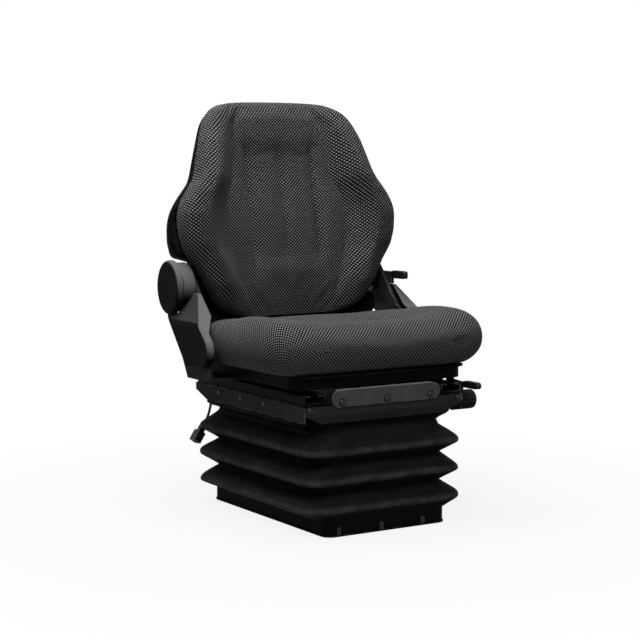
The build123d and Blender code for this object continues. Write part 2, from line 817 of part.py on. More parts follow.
# Presence switch: round body on the pan's floor with a plunger under the cushion
with BuildPart() as switch:
    with BuildSketch(Plane.XY.offset(pan_bottom + pan_gauge)):
        Circle(switch_radius)
    extrude(amount=pan_depth / 2)
    with BuildSketch(Plane.XY.offset(pan_bottom + pan_gauge + pan_depth / 2)):
        Circle(switch_radius / 2)
    extrude(amount=pan_depth / 2 - pan_gauge)
save(switch, "presence_switch")

# Seat cushion: slices from the rolled front edge to the rear, with raised side bolsters
seat_length = seat_rear - seat_front
seat_slices = ((0, 0.66, 0.32, 0.32, 0.24), (0.025, 0.83, 0.76, 0.76, 0.06), (0.1, 0.92, 0.98, 0.99, 0),
               (0.26, 0.98, 1.03, 1.1, 0), (0.5, 1, 0.91, 1.13, 0), (0.76, 0.98, 0.91, 1.03, 0),
               (0.93, 0.93, 0.92, 0.92, 0), (1, 0.8, 0.76, 0.76, 0.08))
with BuildPart() as seat_cushion:
    for share, wide, middle, crest, lift in seat_slices:
        half = wide * seat_width / 2
        low = seat_bottom + lift * seat_thick
        mid_z = seat_bottom + middle * seat_thick
        crest_z = seat_bottom + crest * seat_thick
        belly = low + 0.35 * (crest_z - low)
        with BuildSketch(along_y(seat_front + share * seat_length)):
            with BuildLine():
                top = [(-0.86 * half, low), (-half, belly),
                       (-half + bolster_curl, 0.25 * low + 0.75 * crest_z), (-0.83 * half, crest_z),
                       (-0.55 * half, 0.65 * mid_z + 0.35 * crest_z), (-0.25 * half, mid_z)]
                Spline(*top, *[(-x, z) for x, z in reversed(top)])
                Line((0.86 * half, low), (-0.86 * half, low))
            make_face()
    loft()
    split(bisect_by=Plane.XY.offset(seat_bottom))
save(seat_cushion, "seat_cushion")

# Side brackets: bent steel legs from under the pan, out past the cushion and in again to the pivot
foot_in = pan_width / 2 - foot_lap
leg_out = leg_x + leg_gauge
pivot_out = pivot_x + leg_gauge
leg_circles = ((pivot_y, pivot_z, boss_radius), (foot_y + toe_spread, pan_bottom, toe_radius),
               (foot_y - toe_spread, pan_bottom, toe_radius),
               (foot_y - toe_spread, pan_bottom + knee_rise, knee_radius))
for side, sign in (("left", 1), ("right", -1)):
    with BuildPart() as bracket:
        with BuildSketch(Plane.XZ):
            with BuildLine():
                Polyline(*[(sign * x, z) for x, z in (
                    (foot_in, pan_bottom), (leg_x, pan_bottom), (leg_x, jog_low), (pivot_x, jog_high),
                    (pivot_x, pivot_z + boss_radius), (pivot_out, pivot_z + boss_radius),
                    (pivot_out, jog_high), (leg_out, jog_low), (leg_out, pan_bottom - leg_gauge),
                    (foot_in, pan_bottom - leg_gauge))], close=True)
            make_face()
        extrude(amount=-2 * pivot_y)
        with BuildSketch(Plane.YZ):
            hull_of(leg_circles)
        extrude(amount=sign * leg_out, mode=Mode.INTERSECT)
        with BuildSketch(Plane.YZ.offset(sign * pivot_x)):
            with Locations((pivot_y, pivot_z)):
                Circle(pin_radius + run_fit)
        extrude(amount=sign * leg_gauge, mode=Mode.SUBTRACT)
    save(bracket, f"side_bracket_{side}")

# Side covers: moulded shells outside the brackets, flared where the legs bend outwards
cover_out = leg_out + cover_thick
cover_circles = ((pivot_y, pivot_z, boss_radius + cover_margin),
                 (foot_y + toe_radius, cover_low + cover_toe, cover_toe),
                 (foot_y - toe_spread - cover_margin, cover_low + cover_margin + cover_knee, cover_knee))
for side, sign in (("left", 1), ("right", -1)):
    with BuildPart() as side_cover:
        with BuildSketch(Plane.XZ):
            with BuildLine():
                Polyline(*[(sign * x, z) for x, z in (
                    (leg_out + seat_gap, cover_low), (leg_out + seat_gap, jog_low),
                    (pivot_out + seat_gap, jog_high), (pivot_out + seat_gap, cover_high),
                    (pivot_out + cover_thick / 2, cover_high), (cover_out, jog_low + cover_thick),
                    (cover_out, cover_low))], close=True)
            make_face()
        extrude(amount=-2 * pivot_y)
        with BuildSketch(Plane.YZ):
            hull_of(cover_circles)
        extrude(amount=sign * cover_out, mode=Mode.INTERSECT)
        with BuildSketch(Plane.YZ.offset(sign * pivot_x)):
            with Locations((pivot_y, pivot_z)):
                Circle(max(housing_radius, cap_height / 2) + seat_gap)
        extrude(amount=sign * (cover_out - pivot_x), mode=Mode.SUBTRACT)
        chamfer(side_cover.faces().sort_by(Axis.X)[0 if sign < 0 else -1].edges(), cover_thick / 4)
    save(side_cover, f"side_cover_{side}")

# Pivot housing on the right side: a moulded drum with an egg-shaped cap
with BuildPart() as housing:
    with BuildSketch(Plane.YZ.offset(-pivot_out - seat_gap)):
        with Locations((pivot_y, pivot_z)):
            Circle(housing_radius)
    extrude(amount=-housing_length)
    with BuildSketch(Plane.YZ.offset(-pivot_out - seat_gap)):
        with Locations((pivot_y, pivot_z)):
            Circle(housing_radius - shell_wall)
    extrude(amount=-housing_length + shell_wall, mode=Mode.SUBTRACT)
save(housing, "pivot_housing")
cap_x = pivot_out + seat_gap + housing_length
with BuildPart() as cap:
    with BuildSketch(Plane.YZ.offset(-cap_x)):
        with Locations((pivot_y, pivot_z)):
            Ellipse(cap_width / 2, cap_height / 2)
    extrude(amount=-cap_thick)
    fillet(cap.faces().sort_by(Axis.X)[0].edges(), cap_thick / 2)
save(cap, "pivot_cap")

# Recline discs: sealed round mechanisms between the hinge plates and the brackets
with BuildPart() as discs:
    with BuildSketch(Plane.YZ.offset(pivot_x)):
        with Locations((pivot_y, pivot_z)):
            Circle(disc_radius)
            Circle(pin_radius + run_fit, mode=Mode.SUBTRACT)
    extrude(amount=-disc_thick)
    mirror(about=Plane.YZ)
save(discs, "recline_discs")

# Pivot bolts: through the hinge plate, disc and bracket on each side
lever_x = pivot_out + side_fit
bolt_ends = ((1, lever_x + lever_gauge + side_fit), (-1, pivot_out + side_fit))
with BuildPart() as pivot_bolts:
    for sign, bolt_outer in bolt_ends:
        with BuildSketch(Plane.YZ.offset(sign * ear_x)):
            with Locations((pivot_y, pivot_z)):
                Circle(pin_radius)
        extrude(amount=sign * (bolt_outer - ear_x))
        with BuildSketch(Plane.YZ.offset(sign * bolt_outer)):
            with Locations((pivot_y, pivot_z)):
                Circle(2 * pin_radius)
        extrude(amount=sign * pin_radius, taper=20)
save(pivot_bolts, "pivot_bolts")

# Hinge plates: eyes on the pivot bolts, then up inside the back shell
ear_front = back_seam - seat_gap
for side, start in (("left", ear_x), ("right", -ear_x - ear_gauge)):
    with BuildPart() as ear:
        with BuildSketch(side_plane(start)):
            Circle(eye_radius)
            with Locations((ear_depth / 2 - ear_front, ear_height / 2)):
                Rectangle(ear_depth, ear_height)
            Circle(pin_radius + run_fit, mode=Mode.SUBTRACT)
        extrude(amount=ear_gauge)
    save(ear, f"hinge_plate_{side}")

# Cross tubes: join the two hinge plates behind the cushion
with BuildPart() as cross_tubes:
    with BuildSketch(side_plane(-ear_x)):
        with Locations((ear_depth / 2 - ear_front, shell_low + 2 * tube_radius),
                       (ear_depth / 2 - ear_front, ear_height - 2 * tube_radius)):
            Circle(tube_radius)
            Circle(tube_radius - tube_wall, mode=Mode.SUBTRACT)
    extrude(amount=2 * ear_x)
save(cross_tubes, "cross_tubes")

# Back cushion: slices up the back, dished between the side bolsters, with three sewn flutes
back_slices = ((0, 0.5, 0.5, 0.5, 0.4), (0.035, 0.68, 1.0, 0.3, 0.1), (0.15, 0.77, 1, 0.7, 0),
               (0.29, 0.94, 1, 0.95, 0), (0.46, 1, 1, 1, 0), (0.64, 0.87, 1, 0.8, 0),
               (0.8, 0.785, 1, 0.55, 0), (0.93, 0.68, 0.9, 0.3, 0), (1, 0.5, 0.6, 0.1, 0.2))
back_height = back_top - back_bottom
with BuildPart() as back_cushion:
    for share, wide, crown, bolster, lift in back_slices:
        half = wide * back_width / 2
        seam = back_seam + lift * back_crown
        mid_n = back_seam + crown * back_crown
        crest_n = mid_n + bolster * back_bolster
        side_n = seam + 0.35 * (crest_n - seam)
        with BuildSketch(back_plane(back_bottom + share * back_height)):
            with BuildLine():
                front = [(-0.985 * half, -seam), (-half, -side_n),
                         (-0.97 * half, -0.25 * seam - 0.75 * crest_n), (-0.84 * half, -crest_n),
                         (-0.6 * half, -0.65 * mid_n - 0.35 * crest_n), (-0.3 * half, -mid_n)]
                Spline(*front, *[(-x, n) for x, n in reversed(front)])
                Line((0.985 * half, -seam), (-0.985 * half, -seam))
            make_face()
    loft()
    with BuildSketch(back_plane(flute_low)):
        with Locations((-flute_spacing, -back_seam - back_crown), (0, -back_seam - back_crown),
                       (flute_spacing, -back_seam - back_crown)):
            Circle(flute_radius)
    extrude(amount=flute_high - flute_low, mode=Mode.SUBTRACT)
save(back_cushion, "back_cushion")

# Back shell: moulded panel behind the cushion, bulged to the rear and open at the bottom
shell_edge = back_seam - seat_gap
shell_slices = ((shell_low, 0.925, 0.95), (0.37 * back_top, 0.985, 1), (0.56 * back_top, 0.865, 1),
                (0.76 * back_top, 0.78, 0.9), (0.92 * back_top, 0.675, 0.7), (back_top, 0.5, 0.4))
with BuildPart() as back_shell:
    for wall, mode in ((0, Mode.ADD), (shell_wall, Mode.SUBTRACT)):
        for index, (height, wide, bulge) in enumerate(shell_slices):
            half = wide * back_width / 2 - wall
            deep = bulge * shell_bulge - shell_edge - wall
            level = height - wall if index == len(shell_slices) - 1 else height
            with BuildSketch(back_plane(level)):
                with BuildLine():
                    rear = [(-half, -shell_edge), (-half + shell_curl, 0.2 * deep),
                            (-0.75 * half, 0.8 * deep)]
                    Spline(*rear, (0, deep), *[(-x, n) for x, n in reversed(rear)])
                    Line((half, -shell_edge), (-half, -shell_edge))
                make_face()
        loft(mode=mode)
save(back_shell, "back_shell")

# Recline lever: eye on the left pivot bolt, stepped arm forwards, moulded grip on its end
step_y = pivot_y - recline_step * recline_reach
tip_y = pivot_y - recline_reach
blade_low = pivot_z + lever_lift
with BuildPart() as recline_lever:
    with BuildSketch(Plane.YZ.offset(lever_x)):
        with Locations((pivot_y, pivot_z + lever_lift / 2)):
            Circle(eye_radius)
        with BuildLine():
            Polyline((pivot_y, blade_low + lever_blade), (tip_y, blade_low + lever_blade), (tip_y, blade_low),
                     (step_y, blade_low), (step_y, pivot_z - lever_root), (pivot_y, pivot_z - lever_root),
                     close=True)
        make_face()
        with Locations((pivot_y, pivot_z)):
            Circle(pin_radius + run_fit, mode=Mode.SUBTRACT)
    extrude(amount=lever_gauge)
save(recline_lever, "recline_lever")
grip_z = blade_low + lever_blade / 2
with BuildPart() as recline_grip:
    with BuildSketch(Plane.YZ.offset(lever_x - grip_wall)):
        with Locations(((tip_y + step_y) / 2 - grip_wall, grip_z)):
            RectangleRounded(step_y - tip_y, lever_blade + 2 * grip_wall, lever_blade / 2)
    extrude(amount=lever_gauge + 2 * grip_wall)
    with BuildSketch(Plane.YZ.offset(lever_x - run_fit)):
        with Locations(((tip_y + step_y) / 2, grip_z)):
            Rectangle(step_y - tip_y + 2 * run_fit, lever_blade + 2 * run_fit)
    extrude(amount=lever_gauge + 2 * run_fit, mode=Mode.SUBTRACT)
save(recline_grip, "recline_grip")

# Slide lever: bar outside the left rail on a pin under the pan, with a grip and a spring lug
slide_x = rail_spacing / 2 + rail_width / 2 + slide_gap
slide_pin_z = frame_top + slide_pin_rise
slide_tip_y = slide_pin_y - slide_lever_length
lug_front_y = slide_pin_y - slide_lug_front
lug_rear_y = slide_pin_y - slide_lug_rear
with BuildPart() as slide_lever:
    with BuildSketch(Plane.YZ.offset(slide_x)):
        with Locations((slide_pin_y, slide_pin_z)):
            Circle(slide_eye)
        with BuildLine():
            Polyline((slide_pin_y, slide_pin_z + slide_blade), (lug_front_y, slide_pin_z + slide_blade / 2),
                     (slide_tip_y, slide_pin_z + slide_blade / 2),
                     (slide_tip_y, slide_pin_z - slide_blade / 2),
                     (lug_front_y, slide_pin_z - slide_blade / 2),
                     (lug_front_y, slide_pin_z - slide_lug), (lug_rear_y, slide_pin_z - slide_lug),
                     (slide_pin_y, slide_pin_z - slide_blade), close=True)
        make_face()
        with Locations((slide_pin_y, slide_pin_z)):
            Circle(slide_pin_radius + run_fit, mode=Mode.SUBTRACT)
        with Locations(((lug_front_y + lug_rear_y) / 2, slide_pin_z - slide_lug / 2)):
            Circle(slide_pin_radius, mode=Mode.SUBTRACT)
    extrude(amount=lever_gauge)
save(slide_lever, "slide_lever")
with BuildPart() as slide_pin:
    with BuildSketch(Plane.YZ.offset(slide_x - side_fit)):
        with Locations((slide_pin_y, slide_pin_z)):
            Circle(slide_pin_radius)
    extrude(amount=lever_gauge + 2 * side_fit)
    with BuildSketch(Plane.YZ.offset(slide_x + lever_gauge + side_fit)):
        with Locations((slide_pin_y, (slide_pin_z - 2 * slide_pin_radius + pan_bottom) / 2)):
            Rectangle(hanger_width, pan_bottom - slide_pin_z + 2 * slide_pin_radius)
    extrude(amount=hanger_gauge)
save(slide_pin, "slide_lever_pin")
with BuildPart() as slide_grip:
    with BuildSketch(Plane.YZ.offset(slide_x - grip_wall)):
        with Locations((slide_tip_y + slide_grip_length / 2 - grip_wall, slide_pin_z)):
            RectangleRounded(slide_grip_length, 2 * slide_blade, slide_blade - run_fit)
    extrude(amount=lever_gauge + 2 * grip_wall)
    with BuildSketch(Plane.YZ.offset(slide_x - run_fit)):
        with Locations((slide_tip_y - run_fit + slide_grip_length / 2, slide_pin_z)):
            Rectangle(slide_grip_length, slide_blade + 2 * run_fit)
    extrude(amount=lever_gauge + 2 * run_fit, mode=Mode.SUBTRACT)
save(slide_grip, "slide_lever_grip")

# Lead: grommet in the rear plate, a short hanging lead and its two-way connector
lead_start = frame_length / 2 + lead_out
lead_points = [(lead_x, lead_start, lead_z), (lead_x, lead_start + 13, lead_z),
               (lead_x - 1, lead_start + 22, lead_z - 10), (lead_x - 3, lead_start + 25, lead_z - 26),
               (lead_x - 7, lead_start + 24, lead_z - 44), (lead_x - 14, lead_start + 22, lead_z - 61),
               (lead_x - 25, lead_start + 20, lead_z - 76)]
with BuildPart() as grommet:
    with BuildSketch(along_y(frame_length / 2 - frame_gauge)):
        with Locations((lead_x, lead_z)):
            Circle(grommet_radius - grommet_wall)
    extrude(amount=-frame_gauge)
    with BuildSketch(along_y(frame_length / 2)):
        with Locations((lead_x, lead_z)):
            Circle(grommet_radius)
    extrude(amount=frame_length / 2 - lead_start, taper=grommet_taper)
save(grommet, "lead_grommet")
points = [Vector(*point) for point in lead_points]
runs = [b - a for a, b in zip(points, points[1:])]
bends = []
for before, after in zip(runs, runs[1:]):
    turn = radians(before.get_angle(after))
    bends.append(0.45 * min(before.length, after.length) / tan(turn / 2))
print("lead bend radii, mm:", [round(bend, 1) for bend in bends])
with BuildPart() as lead:
    with BuildLine():
        lead_path = FilletPolyline(*lead_points, radius=bends)
    with BuildSketch(Plane(lead_points[0], x_dir=(1, 0, 0), z_dir=runs[0])):
        Circle(lead_diameter / 2)
    sweep()
print("lead length, mm:", round(lead_path.length, 1))
lead_section = pi * lead_diameter ** 2 / 4
print("lead volume over section times length:", lead.part.volume / (lead_path.length * lead_section))
save(lead, "lead")
end = points[-1]
heading = runs[-1].normalized()
neck_length = connector_neck * connector_length
neck_end = end + heading * neck_length
socket_depth = connector_length - neck_length - connector_wall
with BuildPart() as connector:
    with BuildSketch(Plane(end, x_dir=(0, 1, 0), z_dir=heading)):
        RectangleRounded(connector_width / 2, connector_height, connector_wall)
    extrude(amount=neck_length)
    with BuildSketch(Plane(neck_end, x_dir=(0, 1, 0), z_dir=heading)):
        RectangleRounded(connector_width, connector_height + connector_flare, connector_wall)
    extrude(amount=connector_length - neck_length)
    with BuildSketch(Plane(end + heading * connector_length, x_dir=(0, 1, 0), z_dir=heading)):
        with GridLocations((connector_width - connector_wall) / 2, 0, 2, 1):
            Rectangle(connector_width / 2 - 2 * connector_wall, connector_height - connector_wall)
    extrude(amount=-socket_depth, mode=Mode.SUBTRACT)
save(connector, "lead_connector")
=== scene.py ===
import math

import bpy
import numpy as np
from mathutils import Matrix, Vector


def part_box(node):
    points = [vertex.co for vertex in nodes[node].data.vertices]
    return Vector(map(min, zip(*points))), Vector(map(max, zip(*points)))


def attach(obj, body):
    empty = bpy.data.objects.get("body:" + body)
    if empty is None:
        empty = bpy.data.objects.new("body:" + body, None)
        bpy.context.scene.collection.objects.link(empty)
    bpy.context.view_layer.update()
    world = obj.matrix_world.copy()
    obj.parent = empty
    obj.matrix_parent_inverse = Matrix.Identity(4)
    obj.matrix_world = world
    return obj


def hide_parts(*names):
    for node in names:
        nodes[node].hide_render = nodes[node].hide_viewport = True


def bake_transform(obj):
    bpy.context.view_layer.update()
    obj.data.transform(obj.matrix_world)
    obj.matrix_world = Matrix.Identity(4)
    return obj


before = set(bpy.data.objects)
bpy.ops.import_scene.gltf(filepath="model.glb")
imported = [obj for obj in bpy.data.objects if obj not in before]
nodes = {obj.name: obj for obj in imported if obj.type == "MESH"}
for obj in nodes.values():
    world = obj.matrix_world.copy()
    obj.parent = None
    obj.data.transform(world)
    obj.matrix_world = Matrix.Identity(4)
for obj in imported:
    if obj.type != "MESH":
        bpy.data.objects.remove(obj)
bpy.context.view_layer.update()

# Studio
# A pale seamless floor in a white surround, three soft lamps, and the lens where the
# photograph was taken from: low, in front of the seat's right side.
scene = bpy.context.scene
scene.view_settings.view_transform = "Standard"


class Wire:
    """A socket in a shader tree. Sums on it add Math nodes, and node() adds any other node."""

    def __init__(self, tree, socket=None):
        self.tree = tree
        self.socket = socket

    def node(self, kind, settings=None, sockets=None, out=0):
        made = self.tree.nodes.new(kind)
        for name, value in (settings or {}).items():
            setattr(made, name, value)
        for name, value in (sockets or {}).items():
            if isinstance(value, Wire):
                self.tree.links.new(value.socket, made.inputs[name])
            else:
                made.inputs[name].default_value = value
        return Wire(self.tree, made.outputs[out] if made.outputs else None)

    def math(self, operation, *others):
        values = dict(enumerate((self, *others)))
        return self.node("ShaderNodeMath", {"operation": operation}, values)

    def __add__(self, other):
        return self.math("ADD", other)

    def __mul__(self, other):
        return self.math("MULTIPLY", other)

    def __sub__(self, other):
        return self.math("SUBTRACT", other)

    def __rsub__(self, other):
        return (self * -1.0) + other

    def ramp(self, low, high):
        return self.node("ShaderNodeMapRange", {"interpolation_type": "SMOOTHSTEP"},
                         {"Value": self, "From Min": low, "From Max": high})

    def between(self, first, second):
        return self.node("ShaderNodeMix", {"data_type": "RGBA"}, {0: self, 6: first, 7: second}, 2)


def grey(level, warm=0.0):
    return (level * (1.0 + warm), level, level * (1.0 - warm), 1.0)


def seen_rays(wire):
    path = wire.node("ShaderNodeLightPath")
    outputs = path.socket.node.outputs
    glossy = Wire(wire.tree, outputs["Is Glossy Ray"])
    clear = Wire(wire.tree, outputs["Is Transmission Ray"])
    return path.math("MAXIMUM", glossy).math("MAXIMUM", clear)


lens = bpy.data.cameras.new("photo_lens")
lens.sensor_width = 36.0
lens.lens = 95.92
camera = bpy.data.objects.new("photo_camera", lens)
azimuth = math.radians(-32.2)
elevation = math.radians(5.74)
backwards = Vector((math.sin(azimuth) * math.cos(elevation), -math.cos(azimuth) * math.cos(elevation),
                    math.sin(elevation)))
camera.location = (-1.703, -2.6826, 0.6796)
camera.rotation_mode = "QUATERNION"
camera.rotation_quaternion = (-backwards).to_track_quat("-Z", "Y")
scene.collection.objects.link(camera)
scene.camera = camera

world = bpy.data.worlds.new("white_surround")
scene.world = world
world.use_nodes = True
world.node_tree.nodes.clear()
sky = Wire(world.node_tree)
shown = seen_rays(sky)
surround = sky.node("ShaderNodeBackground", None, {"Color": grey(1.0), "Strength": shown * 0.95 + 0.05})
sky.node("ShaderNodeOutputWorld", None, {"Surface": surround})

floor_mesh = bpy.data.meshes.new("studio_floor")
reach = 9.0
floor_mesh.from_pydata([(-reach, -reach, 0.0), (reach, -reach, 0.0), (reach, reach, 0.0), (-reach, reach, 0.0)],
                       [], [(0, 1, 2, 3)])
floor_mesh.transform(Matrix.Translation((0.0, 0.0, -0.0004)))
floor = bpy.data.objects.new("studio_floor", floor_mesh)
scene.collection.objects.link(floor)
floor_paint = bpy.data.materials.new("studio_floor")
floor_paint.use_nodes = True
floor_paint.node_tree.nodes.clear()
ground = Wire(floor_paint.node_tree)
matt = ground.node("ShaderNodeBsdfDiffuse", None, {"Color": grey(0.30)})
glow = ground.node("ShaderNodeEmission", None, {"Color": grey(1.0), "Strength": 1.0})
spot = ground.node("ShaderNodeTexCoord", None, None, 3)
away = ground.node("ShaderNodeVectorMath", {"operation": "LENGTH"}, {0: spot}, 1)
white_share = away.ramp(0.25, 1.1) * 0.12 + 0.88
mixed = ground.node("ShaderNodeMixShader", None, {0: seen_rays(ground) * white_share, 1: matt, 2: glow})
ground.node("ShaderNodeOutputMaterial", None, {"Surface": mixed})
floor_mesh.materials.append(floor_paint)

for lamp_name, place, target, width, power in (
        ("key_lamp", (-1.1, -1.9, 2.4), (0.0, 0.0, 0.45), 1.4, 60.0),
        ("fill_lamp", (2.2, -2.4, 1.3), (0.0, 0.0, 0.4), 1.6, 5.0),
        ("top_lamp", (-0.45, 0.05, 2.4), (0.0, 0.0, 0.4), 1.3, 105.0)):
    lamp_data = bpy.data.lights.new(lamp_name, "AREA")
    lamp_data.size = width
    lamp_data.energy = power
    lamp = bpy.data.objects.new(lamp_name, lamp_data)
    lamp.location = place
    lamp.rotation_euler = (Vector(target) - Vector(place)).to_track_quat("-Z", "Y").to_euler()
    scene.collection.objects.link(lamp)

# Lead
# A short black PVC lead hangs from a rubber grommet in the frame's rear plate, limp, and
# ends in a two-way moulded connector that plugs into the machine's seat switch circuit.
lead_route = [(-0.116, 0.207, 0.216), (-0.116, 0.220, 0.216), (-0.117, 0.229, 0.206), (-0.119, 0.232, 0.190),
              (-0.123, 0.231, 0.172), (-0.130, 0.229, 0.155), (-0.141, 0.227, 0.140)]
lead_diameter = 0.005
lead_curve = bpy.data.curves.new("lead_line", "CURVE")
lead_curve.dimensions = "3D"
lead_curve.bevel_depth = lead_diameter / 2
lead_curve.bevel_resolution = 4
lead_curve.use_fill_caps = True
line = lead_curve.splines.new("NURBS")
line.points.add(len(lead_route) - 1)
for point, place in zip(line.points, lead_route):
    point.co = (*place, 1.0)
line.order_u = 3
line.use_endpoint_u = True
line.resolution_u = 12
lead = bpy.data.objects.new("lead_line", lead_curve)
scene.collection.objects.link(lead)


def finish(name):
    made = bpy.data.materials.new(name)
    made.use_nodes = True
    made.node_tree.nodes.clear()
    return made, Wire(made.node_tree)


def close_finish(wire, **sockets):
    given = {name.replace("_", " "): value for name, value in sockets.items()}
    surface = wire.node("ShaderNodeBsdfPrincipled", None, given)
    wire.node("ShaderNodeOutputMaterial", None, {"Surface": surface})


def object_noise(wire, scale, detail=3.0, roughness=0.5):
    places = wire.node("ShaderNodeTexCoord", None, None, 3)
    return wire.node("ShaderNodeTexNoise", None,
                     {"Vector": places, "Scale": scale, "Detail": detail, "Roughness": roughness})


def dress(material, *names):
    for name in names:
        nodes[name].data.materials.clear()
        nodes[name].data.materials.append(material)


lead_cover, wire = finish("lead_pvc")
smudge = object_noise(wire, 240.0)
close_finish(wire, Base_Color=smudge.between(grey(0.006), grey(0.014)), Roughness=smudge * 0.2 + 0.38,
             Specular_IOR_Level=0.15)
lead_curve.materials.append(lead_cover)
dress(lead_cover, "lead_connector", "lead_grommet")
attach(lead, "top_frame")
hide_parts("lead")

# Base plate and skirt clips
# A pressed steel tray, painted black, that bolts to the machine's deck. Three spring clips
# of blackened steel hold the rubber skirt on its front.


def painted_steel(name, level, wear, top=0.0025):
    """Satin paint, worn on its edges, where the bright wear on the rails is partly a painted highlight for the
    glints on their ends; top is the colour of its upper faces: a painted shade by default, a painted highlight
    on the cover plate.
    """
    made, wire = finish(name)
    mottle = object_noise(wire, 38.0, 4.0)
    grain = object_noise(wire, 900.0, 2.0)
    rounded = wire.node("ShaderNodeBevel", {"samples": 6}, {"Radius": 0.0011})
    facing = wire.node("ShaderNodeNewGeometry", None, None, 1)
    same = rounded.node("ShaderNodeVectorMath", {"operation": "DOT_PRODUCT"}, {0: rounded, 1: facing}, 1)
    edge = (1.0 - same).ramp(0.015, 0.12) * mottle.ramp(0.42, 0.62) * wear
    coat = mottle.between(grey(level * 0.75, 0.03), grey(level * 1.35, 0.03))
    skyward = wire.node("ShaderNodeSeparateXYZ", None, {0: facing}, 2)
    # Painted light on the upper faces: they take the colour top, darker than the paint as a painted shade,
    # lighter on the cover plate as a painted highlight.
    painted_top_light = skyward.ramp(0.55, 0.95).between(coat, grey(top))
    colour = edge.between(painted_top_light, grey(0.17, 0.02))
    bump = wire.node("ShaderNodeBump", None, {"Strength": 0.12, "Distance": 0.0004, "Height": grain,
                                              "Normal": rounded})
    close_finish(wire, Base_Color=colour, Roughness=mottle * 0.22 + 0.33, Metallic=edge * 0.7, Normal=bump,
                 Specular_IOR_Level=0.01)
    return made


# The deck paint's upper faces are painted darker as a painted shade.
deck_paint = painted_steel("deck_paint", 0.006, 0.5)
dress(deck_paint, "base_plate", "lower_tracks", "lower_pivots", "damper_foot", "damper_tube", "outer_arms",
      "inner_arms")


def plain_steel(name, level, rough, tint=0.01):
    made, wire = finish(name)
    streak = wire.node("ShaderNodeMapping", None,
                       {"Vector": wire.node("ShaderNodeTexCoord", None, None, 3), "Scale": (60.0, 6.0, 60.0)})
    drawn = wire.node("ShaderNodeTexNoise", None, {"Vector": streak, "Scale": 14.0, "Detail": 4.0})
    stain = object_noise(wire, 55.0, 3.0)
    rounded = wire.node("ShaderNodeBevel", {"samples": 6}, {"Radius": 0.0008})
    colour = (drawn * 0.6 + stain * 0.4).between(grey(level * 0.7, tint), grey(level * 1.2, tint))
    close_finish(wire, Base_Color=colour, Roughness=stain * 0.25 + rough, Metallic=0.9, Normal=rounded)
    return made


black_steel = plain_steel("blackened_steel", 0.018, 0.26)
dress(black_steel, "skirt_clips", "springs", "pan_bolts", "pivot_bolts", "slide_lever_pin", "recline_discs",
      "centre_pins")

# Scissor linkage
# Zinc plated axles and damper rod, white nylon rollers and rubber stops, all inside the boot.
zinc = plain_steel("zinc_plate", 0.52, 0.24, 0.015)
dress(zinc, "upper_axle", "lower_axle", "damper_rod", "adjuster_shaft", "tension_yoke")
nylon, wire = finish("roller_nylon")
cloud = object_noise(wire, 90.0)
close_finish(wire, Base_Color=cloud.between(grey(0.62, 0.04), grey(0.74, 0.03)), Roughness=cloud * 0.2 + 0.35)
dress(nylon, "upper_rollers", "lower_rollers")
dress(lead_cover, "bump_stops")

# Bellows
# A moulded rubber boot of three folds, from the skirt round the base tray to a collar under
# the upper frame. It closes the suspension in and folds together as the seat goes down.
boot_lip = (0.169, 0.213)
boot_inset = (0.030, 0.022)
boot_corner = 0.035
boot_wall = 0.0028
skirt_half = (0.1293, 0.2063)
fold_rise = 0.0515
first_lip = 0.0425
collar_half = (0.170, 0.182)


def curve_through(known, values, places):
    """Natural cubic through the known points, read at the places."""
    known = np.asarray(known, float)
    values = np.asarray(values, float)
    places = np.asarray(places, float)
    step = np.diff(known)
    slope = np.diff(values) / step
    size = len(known)
    system = np.eye(size)
    right = np.zeros(size)
    for row in range(1, size - 1):
        system[row, row - 1:row + 2] = step[row - 1], 2 * (step[row - 1] + step[row]), step[row]
        right[row] = 6 * (slope[row] - slope[row - 1])
    bend = np.linalg.solve(system, right)
    spot = np.clip(np.searchsorted(known, places) - 1, 0, size - 2)
    width = step[spot]
    left = (known[spot + 1] - places) / width
    other = 1 - left
    return (left * values[spot] + other * values[spot + 1]
            + ((left ** 3 - left) * bend[spot] + (other ** 3 - other) * bend[spot + 1]) * width ** 2 / 6)


def soft_step(value, low, high):
    share = np.clip((value - low) / (high - low), 0.0, 1.0)
    return share * share * (3 - 2 * share)


def mesh_piece(name, points, faces):
    mesh = bpy.data.meshes.new(name)
    mesh.from_pydata([tuple(p) for p in points], [], faces)
    mesh.update()
    for polygon in mesh.polygons:
        polygon.use_smooth = True
    piece = bpy.data.objects.new(name, mesh)
    scene.collection.objects.link(piece)
    return piece


def rounded_loop(half_x, half_y, corner, per_corner=14, per_side=26):
    spots = []
    for turn, (sx, sy) in enumerate(((1, 1), (-1, 1), (-1, -1), (1, -1))):
        middle = (sx * (half_x - corner), sy * (half_y - corner))
        for step in range(per_corner + 1):
            angle = math.pi / 2 * (turn + step / per_corner)
            spots.append((middle[0] + corner * math.cos(angle), middle[1] + corner * math.sin(angle)))
        nx, ny = ((-1, 1), (-1, -1), (1, -1), (1, 1))[turn]
        ahead = (nx * (half_x - corner) + corner * math.cos(math.pi / 2 * (turn + 1)),
                 ny * (half_y - corner) + corner * math.sin(math.pi / 2 * (turn + 1)))
        here = spots[-1]
        for step in range(1, per_side):
            share = step / per_side
            spots.append((here[0] + share * (ahead[0] - here[0]), here[1] + share * (ahead[1] - here[1])))
    return np.array(spots)


